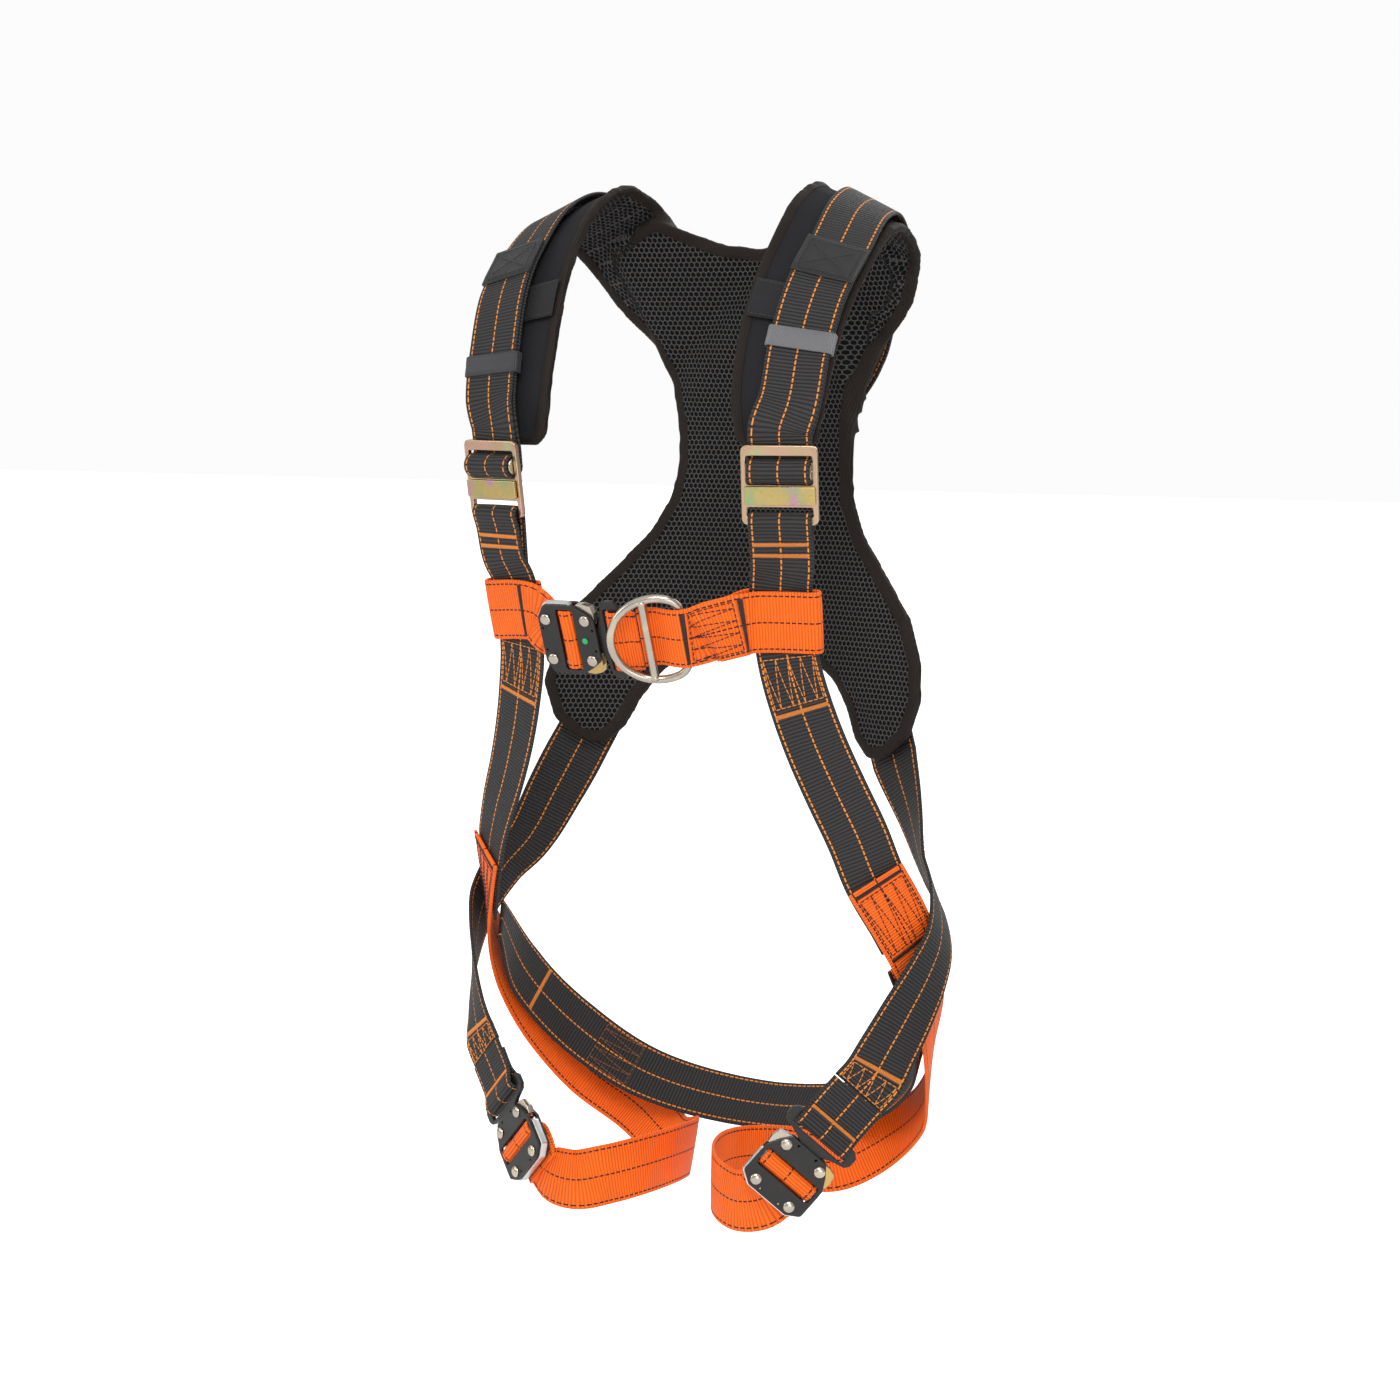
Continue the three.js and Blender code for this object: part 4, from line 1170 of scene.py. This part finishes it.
def tail_end(strap):
    """The tail's folded and hemmed end, in smooth tape with a stitched box."""
    end = strap.run[-1]
    rows = []
    for run in np.linspace(end - 34, end - 0.5, 12):
        face = Vector(strap._mix(strap.faces, run))
        thick = THICK * (1.0 if run < end - 30 else 1.25)
        point = Vector(strap._mix(strap.points, run)) - face * 1.7
        rows.append((point, face, WIDTH + 1.2, thick + 1.6))
    patch = Strap(rows, 4)
    add_pair("tail_end", strap_mesh("tail_end", patch, 0.8), plain_tape("Hem tape", (0.03, 0.03, 0.031), 0.3, 0.8),
             replaces=False)
    hem = Thread()
    length = patch.run[-1]
    hem.seam(patch, [(3, -19), (length - 4, -19), (length - 4, 19), (3, 19), (3, -19)], -1)
    hem.seam(patch, [(7, -15), (length - 8, 15)], -1)
    hem.seam(patch, [(7, 15), (length - 8, -15)], -1)
    add_pair("tail_stitching", hem.mesh("tail_stitching"), black_thread(), replaces=False)


def cross_band():
    spine = Strap(SHOULDER_SPINE[2:8], 5)
    keep = [i for i, p in enumerate(spine.points) if 199 < p[2] < 228 and p[1] < 0]
    rows = [(Vector(spine.points[i] + spine.faces[i] * 5.35), Vector(spine.faces[i]), spine.widths[i] - 8, 0.9)
            for i in keep]
    tape = Strap(rows, 3)
    add_pair("pad_band", strap_mesh("pad_band", tape, 1.0), plain_tape("Band tape", (0.018, 0.018, 0.02), 0.6))
    seams = Thread(0.35)
    length = tape.run[-1]
    seams.seam(tape, [(2, -31), (2, 31)], 1, 2.6)
    seams.seam(tape, [(length - 2, -31), (length - 2, 31)], 1, 2.6)
    add_pair("band_stitching", seams.mesh("band_stitching"), black_thread(), replaces=False)


def elastic_keeper(name, height):
    """A band of elastic round both layers of the shoulder webbing."""
    line = Strap(strap_on_pad(2, 6, 0), 4)
    k = int(np.argmax(line.points[:, 2] > height))
    face, side = line.faces[k], line.sides[k]
    along = np.cross(face, side)
    half, low, high = WIDTH / 2 + 1.4, 4.9, TAIL_LIFT + 2.1
    loop = rounded_rect(-half, half, low, high, 2.6, 5)
    verts, runs, across, rings = [], [], [], []
    for y, shrink in ((-7, 0.35), (-6.6, 0.0), (-3.3, -0.1), (0, 0.12), (3.3, -0.1), (6.6, 0.0), (7, 0.35)):
        for u, v in loop:
            u, v = u - math.copysign(shrink, u), v - (shrink if v > 8 else 0)
            verts.append(line.points[k] + side * u + face * v + along * y)
            runs.append(u)
            across.append(y)
        rings.append(range(len(verts) - len(loop), len(verts)))
    tube = mesh_from(name, verts, skin(rings)[:-2], along=runs, across=across)
    return thickened(tube, 0.9)


def thickened(mesh, thickness):
    """An open sheet as a wall that grows inwards."""
    holder = bpy.data.objects.new(mesh.name, mesh)
    wall = holder.modifiers.new("Wall", "SOLIDIFY")
    wall.thickness, wall.offset = thickness * MM, -1.0
    return evaluated_mesh(holder)


def add_keepers():
    """The left keeper is pulled higher up its strap than the right one, and is coloured lighter as painted sheen."""
    left = elastic_keeper("keeper_left", KEEPER_HEIGHT["left"])
    right = mirrored_mesh(elastic_keeper("keeper_right", KEEPER_HEIGHT["right"]), "keeper_right")
    # Both keepers are the same black elastic; the left one's lighter grey is a painted sheen, the right one keeps the
    # elastic's own dark colour.
    for side, mesh, material in (("left", left, plain_tape("Grey elastic", (0.19, 0.19, 0.2), 0.3, 0.9)),
                                 ("right", right, plain_tape("Dark elastic", (0.05, 0.05, 0.055), 0.3, 0.9))):
        add_piece(f"elastic_keeper_look_{side}", mesh, material, BODY, (f"elastic_keeper_{side}",))


class HARNESS_OT_lower_webbing(bpy.types.Operator):
    """Build the front, back, seat and leg webbing with their sewn overlaps"""

    bl_idname = "harness.lower_webbing"
    bl_label = "Lower webbing"

    def execute(self, context):
        step = webbing_settings().step / MM
        front, leg, back = (Strap(course(), step) for course in (front_course, leg_course, back_course))
        seat = Strap(seat_course(), step)
        add_pair("front_strap", strap_mesh("front_strap", front), black_webbing())
        add_pair("leg_strap", strap_mesh("leg_strap", leg), orange_webbing())
        add_pair("back_strap", strap_mesh("back_strap", back), black_webbing())
        add_piece("seat_strap_look", strap_mesh("seat_strap", seat), black_webbing(), BODY, ("seat_strap",))
        leg_tongue_webs()
        lower_stitching(front, leg, back, seat)
        return {"FINISHED"}


def tongue_web_meshes(name, place, end, tail_end, split):
    """The web's loop, which stays with the tongue, and its straight ends."""
    web = Strap(tongue_course(place, end, tail_end), 2)
    low, high = web.nearest(local(place, split, 1.5)), web.nearest(local(place, split, -1.5))
    loop = strap_mesh(f"{name}_loop", web.part(low, high))
    ends = [strap_mesh(name, web.part(*span)) for span in ((0, low), (high, web.run[-1]))]
    return web, loop, joined(name, ends)


def crumple(piece, place, end):
    axis, anchor = place.to_3x3().col[0], local(place, end) * MM
    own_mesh(piece)


def leg_tongue_webs():
    web, loop, ends = tongue_web_meshes("leg_tongue_web", LEG_BUCKLE, TONGUE_WEB_END, TONGUE_WEB_END - 8,
                                        LEG_WEB_SPLIT)
    tongues = ("leg_left_tongue", "leg_right_tongue")
    add_pair("leg_tongue_loop", loop, black_webbing(), tongues, replaces=False)
    tack = Thread(ORANGE_THREAD)
    tack.bar_tack(web, web.nearest(local(LEG_BUCKLE, 49.6, 1.5)), length=3)
    add_pair("leg_tongue_tack", tack.mesh("leg_tongue_tack"), orange_thread(), tongues, replaces=False)
    left, right = add_pair("leg_tongue_web", ends, black_webbing())
    crumple(left, LEG_BUCKLE, TONGUE_WEB_END)
    crumple(right, LEG_BUCKLE, TONGUE_WEB_END)


def lower_stitching(front, leg, back, seat):
    orange, dark, brown = Thread(ORANGE_THREAD), Thread(DARK_THREAD), Thread()
    for x in (-41.5, -49.5):
        orange.bar_tack(front, front.nearest(local(ADJUSTER, x, 4)), length=3)
    low, high = front.nearest((109, -73, -30)), front.nearest((114, -66, -63))
    orange.w_box(front, low, high)
    orange.bar_tack(front, front.nearest((115.5, -65, -68)))
    end = back.run[-1]
    orange.bar_tack(back, end - 22)
    orange.w_box(back, end - 18, end - 2)
    hip = back.nearest((149, 46, -150))
    orange.bar_tack(back, hip)
    orange.w_box(back, hip + 4, hip + 42)
    dark.bar_tack(leg, 4)
    dark.w_box(leg, 8, 56)
    dark.bar_tack(leg, 60)
    wide = seat.run[-1]
    for near, far in ((0.245, 0.305), (0.695, 0.755)):
        brown.w_box(seat, wide * near, wide * far, -1)
    for share in (0.13, 0.87):
        orange.bar_tack(seat, wide * share, -1)
    add_pair("lower_orange_stitching", orange.mesh("lower_orange_stitching"), orange_thread(), replaces=False)
    add_pair("hip_dark_stitching", dark.mesh("hip_dark_stitching"), dark_thread(), replaces=False)
    add_piece("seat_stitching_look", brown.mesh("seat_stitching"),
              thread_material("Brown thread", (0.30, 0.09, 0.02)), BODY)


class HARNESS_OT_chest_webbing(bpy.types.Operator):
    """Build the chest webbing with its loops round the front straps"""

    bl_idname = "harness.chest_webbing"
    bl_label = "Chest webbing"

    def execute(self, context):
        step = webbing_settings().step / MM
        left, right = Strap(chest_left_course(), step / 2), Strap(chest_right_course(), step / 2)
        for name, strap in (("chest_strap_left", left), ("chest_strap_right", right)):
            add_piece(f"{name}_look", strap_mesh(name, strap), orange_webbing(), BODY, (name,))
        _, loop, ends = tongue_web_meshes("chest_tongue_web", CHEST_BUCKLE, CHEST_WEB_END, 53, CHEST_WEB_SPLIT)
        add_piece("chest_tongue_loop_look", loop, orange_webbing(), "chest_tongue", ())
        piece = add_piece("chest_tongue_web_look", ends, orange_webbing(), BODY, ("chest_tongue_web",))
        crumple(piece, CHEST_BUCKLE, CHEST_WEB_END)
        dark = Thread(DARK_THREAD)
        first, last = left.nearest((45, -106, -17)), left.nearest((86, -94.5, -10))
        dark.bar_tack(left, first)
        dark.w_box(left, first + 4, last - 4)
        dark.bar_tack(left, last)
        dark.bar_tack(right, right.nearest((-99, -83, -5)))
        add_piece("chest_stitching_look", dark.mesh("chest_stitching"), dark_thread(), BODY)
        return {"FINISHED"}


class HARNESS_OT_adjusters(bpy.types.Operator):
    """Build both shoulder adjusters"""

    bl_idname = "harness.adjusters"
    bl_label = "Adjusters"

    def execute(self, context):
        windows = [rounded_rect(0.5, 20.5, -23.3, 23.3, 1.5), rounded_rect(-22, -15.5, -23.3, 23.3, 1.5)]
        plate = plate_mesh("adjuster_frame", rounded_rect(-28, 28, -27, 27, 4.5), windows, -2, 2, 0.7)
        add_pair("adjuster_frame", in_place(plate, ADJUSTER), zinc_plate())
        bar = plate_mesh("adjuster_slide", rounded_rect(-13.5, -0.5, -25.6, 24.6, 1.6), [], 2.4, 4.6, 0.5)
        add_pair("adjuster_slide", in_place(bar, ADJUSTER), slide_plate(),
                 ("adjuster_slide_left", "adjuster_slide_right"))
        end = 25.4
        profile = [(0, -end), (0.9, -end), (1.2, -end + 0.3), (1.2, -22.9), (5.6, -22.9), (6, -22.5), (6, 22.5),
                   (5.6, 22.9), (1.2, 22.9), (1.2, end - 0.3), (0.9, end), (0, end)]
        pin = lathe_mesh("adjuster_pin", profile)
        pin.transform(Matrix.Translation((PIN_X * MM, 0, 0)) @ Matrix.Rotation(math.radians(-90), 4, "X"))
        add_pair("adjuster_pin", in_place(pin, ADJUSTER), bright_steel(), ("adjuster_pin_left", "adjuster_pin_right"))
        return {"FINISHED"}


MOVING_PARTS = ("pawl_upper", "pawl_lower", "tongue")
RIVETS = ((-16.5, 15.5), (16.5, 15.5), (-16.5, -15.5), (16.5, -15.5))
PLATE_HALF = ((-23, 17), (-17, 26.5), (7, 26.5), (16, 21.5), (24, 15.5))


def buckle_meshes():
    """Each part of a quick-release buckle in its own frame, with its material and slot."""
    holes = [circle(x, y, 2.5) for x, y in RIVETS]
    pins = [circle(x, y, 0.9, 12) for x, y in ((-20.2, 8.5), (-20.2, -8.5), (21.2, 8.0), (21.2, -8.0))]
    outline = filleted(even(PLATE_HALF), 3.2)
    front = plate_mesh("front_plate", outline, [rounded_rect(-7, 7, -23.3, 23.3, 2), *holes, *pins], 2.8, 5.2, 0.5)
    back = plate_mesh("back_plate", outline, [rounded_rect(-10.5, 8, -23.3, 23.3, 2), *holes], -5.2, -2.8, 0.5)
    core_holes = [rounded_rect(-10, -3, -23.3, 23.3, 1), *[circle(-16.5, y, 2.5) for y in (15.5, -15.5)]]
    core_outline = filleted(even(((-24, 17.4), (-17.6, 27.4), (4, 27.4))), 2.5)
    core = plate_mesh("core", core_outline, core_holes, -2.6, 2.6, 0.3)
    shape = filleted([(8.3, 22), (9.2, 26.6), (15, 27.2), (21.5, 25.5), (23, 20), (23, 12), (19, 10.4), (14, 11.2),
                      (12, 16)], 1.2, 4)
    upper = plate_mesh("pawl_upper", shape, [circle(16.5, 15.5, 2.5)], -2.6, 2.6, 0.35)
    lower = plate_mesh("pawl_lower", [(x, -y) for x, y in shape], [circle(16.5, -15.5, 2.5)], -2.6, 2.6, 0.35)
    tongue = plate_mesh("tongue", filleted(even(
        ((8, 8), (10, 9.6), (16, 9.6), (17.5, 8), (23, 8), (27, 16), (29.5, 27), (33, 29.8), (40, 29.8), (43.5, 26))),
        2.0), [rounded_rect(30.8, 36, -23.6, 23.6, 1)], -1.7, 1.7, 0.5)
    return (("front_plate", front, coated_plate, "black_plate"), ("back_plate", back, coated_plate, "black_plate"),
            ("core", core, spacer_steel, "bright_steel"), ("pawl_upper", upper, bright_steel, "bright_steel"),
            ("pawl_lower", lower, brass_metal, "brass_pawl"), ("tongue", tongue, coated_plate, "black_plate"))


def rivet_mesh(name):
    profile = [(0, -6.4), (2.6, -6.4), (3.2, -6.15), (3.55, -5.5), (2.2, -5.5), (2.2, 5.5), (4.1, 5.5), (4.2, 5.7),
               (4.0, 6.15), (3.5, 6.6), (2.7, 6.95), (1.6, 7.15), (0.8, 7.2), (0.0, 7.2)]
    return lathe_mesh(name, profile)


def add_buckle_part(part, mesh, material, moving=False):
    """One part of the chest buckle and its twins in both leg buckles."""
    legs = in_place(mesh.copy(), LEG_BUCKLE)
    chest = in_place(mesh, CHEST_BUCKLE)
    copies = (("chest", chest), ("leg_left", legs), ("leg_right", mirrored_mesh(legs, f"leg_{part}_right")))
    for buckle, own in copies:
        node = f"{buckle}_{part}"
        add_piece(f"{node}_look", own, material, node if moving else BODY, (node,))


class HARNESS_OT_buckles(bpy.types.Operator):
    """Build the chest buckle and both leg buckles"""

    bl_idname = "harness.buckles"
    bl_label = "Buckles"

    def execute(self, context):
        for part, mesh, material, slot in buckle_meshes():
            add_buckle_part(part, mesh, material(), part in MOVING_PARTS)
        for i, (x, y) in enumerate(RIVETS, 1):
            rivet = rivet_mesh(f"rivet_{i}")
            rivet.transform(Matrix.Translation((x * MM, y * MM, 0)))
            add_buckle_part(f"rivet_{i}", rivet, bright_steel())
        dome = lathe_mesh("indicator", [(0, 5.35), (2.3, 5.35), (2.3, 5.9), (2.0, 6.25), (1.0, 6.45), (0, 6.5)], 24)
        dome.transform(Matrix.Translation((14 * MM, 0, 0)))
        add_piece("chest_indicator_look", in_place(dome, CHEST_BUCKLE),
                  moulded_plastic("Green plastic", (0.02, 0.42, 0.12), 0.4), BODY, ("chest_indicator",))
        return {"FINISHED"}


class HARNESS_OT_chest_ring(bpy.types.Operator):
    """Build the forged chest ring with its middle bar"""

    bl_idname = "harness.chest_ring"
    bl_label = "Chest ring"

    def execute(self, context):
        half = [(25.5, 13), (25.5, 22), (21, 28), (12, 31), (2, 31), (-9, 27.5), (-19, 20), (-25, 9)]
        loop = smooth_loop([*half, (-26.5, 0), *[(x, -y) for x, y in reversed(half)], (25.5, 0)])
        ring = wire_mesh("chest_ring", loop, 3.0)
        lengths = np.linspace(-30.5, 30.5, 33)
        radii = 2.9 + 1.3 * np.clip((np.abs(lengths) - 24.5) / 6, 0, 1) ** 2
        bar = wire_mesh("chest_ring_bar", [(0, y) for y in lengths], radii, closed=False)
        mesh = in_place(joined("chest_ring", [ring, bar]), CHEST_RING)
        add_piece("chest_ring_look", mesh, bright_steel(), "chest_ring", ("chest_ring",))
        return {"FINISHED"}


class HARNESS_OT_dorsal_fitting(bpy.types.Operator):
    """Build the dorsal plate and the ring that hangs in it"""

    bl_idname = "harness.dorsal_fitting"
    bl_label = "Dorsal fitting"

    def execute(self, context):
        y, z = DORSAL_BAR
        slots = [rounded_rect(-30, 30, 22, 26, 1.6), rounded_rect(-30, 30, -30, -26, 1.6)]
        parts = [plate_mesh("dorsal_plate", rounded_rect(-42, 42, -50, 50, 12), slots, -2, 2, 0.8)]
        for x in (-14, 14):
            lug = plate_mesh("lug", filleted([(y - 7, 1), (y + 7, 1), (y + 7, z + 5), (y - 7, z + 5)], 4.5),
                             [circle(y, z, 4.3)], x - 6, x + 6, 0.7)
            lug.transform(Matrix(((0, 0, 1, 0), (1, 0, 0, 0), (0, 1, 0, 0), (0, 0, 0, 1))))
            parts.append(lug)
        plate = in_place(joined("dorsal_plate", parts), DORSAL)
        add_piece("dorsal_plate_look", plate, moulded_plastic("Black plastic", (0.02, 0.02, 0.022)), BODY,
                  ("dorsal_plate",))
        half = [(24, 0), (29, -2.5), (31, -10), (30, -28), (24, -44), (13, -54)]
        loop = smooth_loop([(8, 0), *half, (0, -57.5), *[(-x, v) for x, v in reversed(half)], (-8, 0)])
        ring = wire_mesh("dorsal_ring", loop, 3.8)
        ring.transform(Matrix.Translation((0, y * MM, z * MM)) @ Matrix.Rotation(math.radians(-10), 4, "X"))
        add_piece("dorsal_ring_look", in_place(ring, DORSAL), bright_steel(), "dorsal_ring", ("dorsal_ring",))
        return {"FINISHED"}


class HARNESS_OT_stage(bpy.types.Operator):
    """Place the floor, the lights and the camera"""

    bl_idname = "harness.stage"
    bl_label = "Stage"

    def execute(self, context):
        s = context.scene.harness_stage
        scene = context.scene
        back = Vector((math.sin(s.azimuth) * math.cos(s.elevation),
                       -math.cos(s.azimuth) * math.cos(s.elevation), math.sin(s.elevation)))
        target = Vector((0, 0, -0.072))
        camera = bpy.data.objects.new("Camera", bpy.data.cameras.new("Camera"))
        scene.collection.objects.link(camera)
        camera.data.lens = s.lens
        camera.data.sensor_width = 36
        camera.location = target + back * s.distance
        camera.rotation_mode = "QUATERNION"
        camera.rotation_quaternion = (-back).to_track_quat("-Z", "Y")
        camera.data.clip_end = 60
        scene.camera = camera
        reach = 14.0
        floor = bpy.data.meshes.new("floor")
        corners = ((-reach, -reach), (reach, -reach), (reach, reach), (-reach, reach))
        floor.from_pydata([(x, y, s.floor) for x, y in corners], [], [(0, 1, 2, 3)])
        material, shader, nodes = new_material("Pale floor", Roughness=0.9, Specular_IOR_Level=0.1)
        tone = nodes.mix(nodes.noise(1.5, 2.0, nodes.place()), (0.90, 0.90, 0.90), (0.93, 0.93, 0.93))
        nodes.tree.links.new(tone, shader.inputs["Base Color"])
        shader.inputs["Emission Color"].default_value = (1, 1, 1, 1)
        seen = nodes.add("ShaderNodeLightPath").outputs["Is Camera Ray"]
        glow = nodes.math("MULTIPLY", seen, 0.8)
        nodes.tree.links.new(glow, shader.inputs["Emission Strength"])
        floor.materials.append(material)
        ground = bpy.data.objects.new("floor", floor)
        scene.collection.objects.link(ground)
        for name, place, size, power in (
                ("Key", (1.1, -2.4, 2.0), 1.3, 46.0), ("Fill", (-2.4, -1.8, 0.9), 1.6, 16.0),
                ("Front", (1.9, -2.4, -0.2), 1.2, 12.0), ("Back", (0.4, 2.6, 1.8), 2.0, 26.0)):
            light = bpy.data.objects.new(name, bpy.data.lights.new(name, "AREA"))
            light.data.size, light.data.energy = size, power
            light.location = place
            light.rotation_mode = "QUATERNION"
            light.rotation_quaternion = (target - Vector(place)).to_track_quat("-Z", "Y")
            scene.collection.objects.link(light)
        world = bpy.data.worlds.new("Studio")
        world.use_nodes = True
        sky = Shader(world.node_tree)
        background = world.node_tree.nodes["Background"]
        background.inputs["Color"].default_value = (1, 1, 1, 1)
        direction = sky.add("ShaderNodeSeparateXYZ", {0: sky.add("ShaderNodeTexCoord").outputs["Generated"]}).outputs
        up = sky.ramp(direction[2], -0.5, 0.75)
        side = sky.ramp(sky.math("ABSOLUTE", sky.math("ADD", direction[0], 0.25)), 0.25, 0.85)
        level = sky.math("MULTIPLY_ADD", up, 0.6, sky.math("MULTIPLY", side, -0.2))
        level = sky.math("ADD", level, 0.25, clamp=True)
        seen = sky.add("ShaderNodeLightPath").outputs["Is Camera Ray"]
        sky.tree.links.new(sky.mix_value(seen, level, 0.97), background.inputs["Strength"])
        scene.world = world
        scene.view_settings.view_transform = "Standard"
        return {"FINISHED"}


class HARNESS_PT_panel(bpy.types.Panel):
    """Lists the steps that build the harness"""

    bl_idname = "HARNESS_PT_panel"
    bl_label = "Safety Harness"
    bl_space_type = "VIEW_3D"
    bl_region_type = "UI"
    bl_category = "Harness"

    def draw(self, context):
        for operator in OPERATORS:
            self.layout.operator(operator.bl_idname)
        for group in ("harness_webbing", "harness_pad", "harness_metal", "harness_stage"):
            box = self.layout.box()
            settings = getattr(context.scene, group)
            for key in settings.__annotations__:
                box.prop(settings, key)


SETTINGS = {"harness_webbing": WebbingSettings, "harness_pad": PadSettings, "harness_metal": MetalSettings,
            "harness_stage": StageSettings}
OPERATORS = (HARNESS_OT_back_pad, HARNESS_OT_shoulder_webbing, HARNESS_OT_lower_webbing, HARNESS_OT_chest_webbing,
             HARNESS_OT_adjusters, HARNESS_OT_buckles, HARNESS_OT_chest_ring, HARNESS_OT_dorsal_fitting,
             HARNESS_OT_stage)


def register():
    for cls in (*SETTINGS.values(), *OPERATORS, HARNESS_PT_panel):
        bpy.utils.register_class(cls)
    for name, cls in SETTINGS.items():
        setattr(bpy.types.Scene, name, bpy.props.PointerProperty(type=cls))


def unregister():
    for name in SETTINGS:
        delattr(bpy.types.Scene, name)
    for cls in reversed((*SETTINGS.values(), *OPERATORS, HARNESS_PT_panel)):
        bpy.utils.unregister_class(cls)


def main():
    register()
    for operator in OPERATORS:
        category, name = operator.bl_idname.split(".")
        getattr(getattr(bpy.ops, category), name)()
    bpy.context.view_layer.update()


if __name__ == "__main__":
    main()
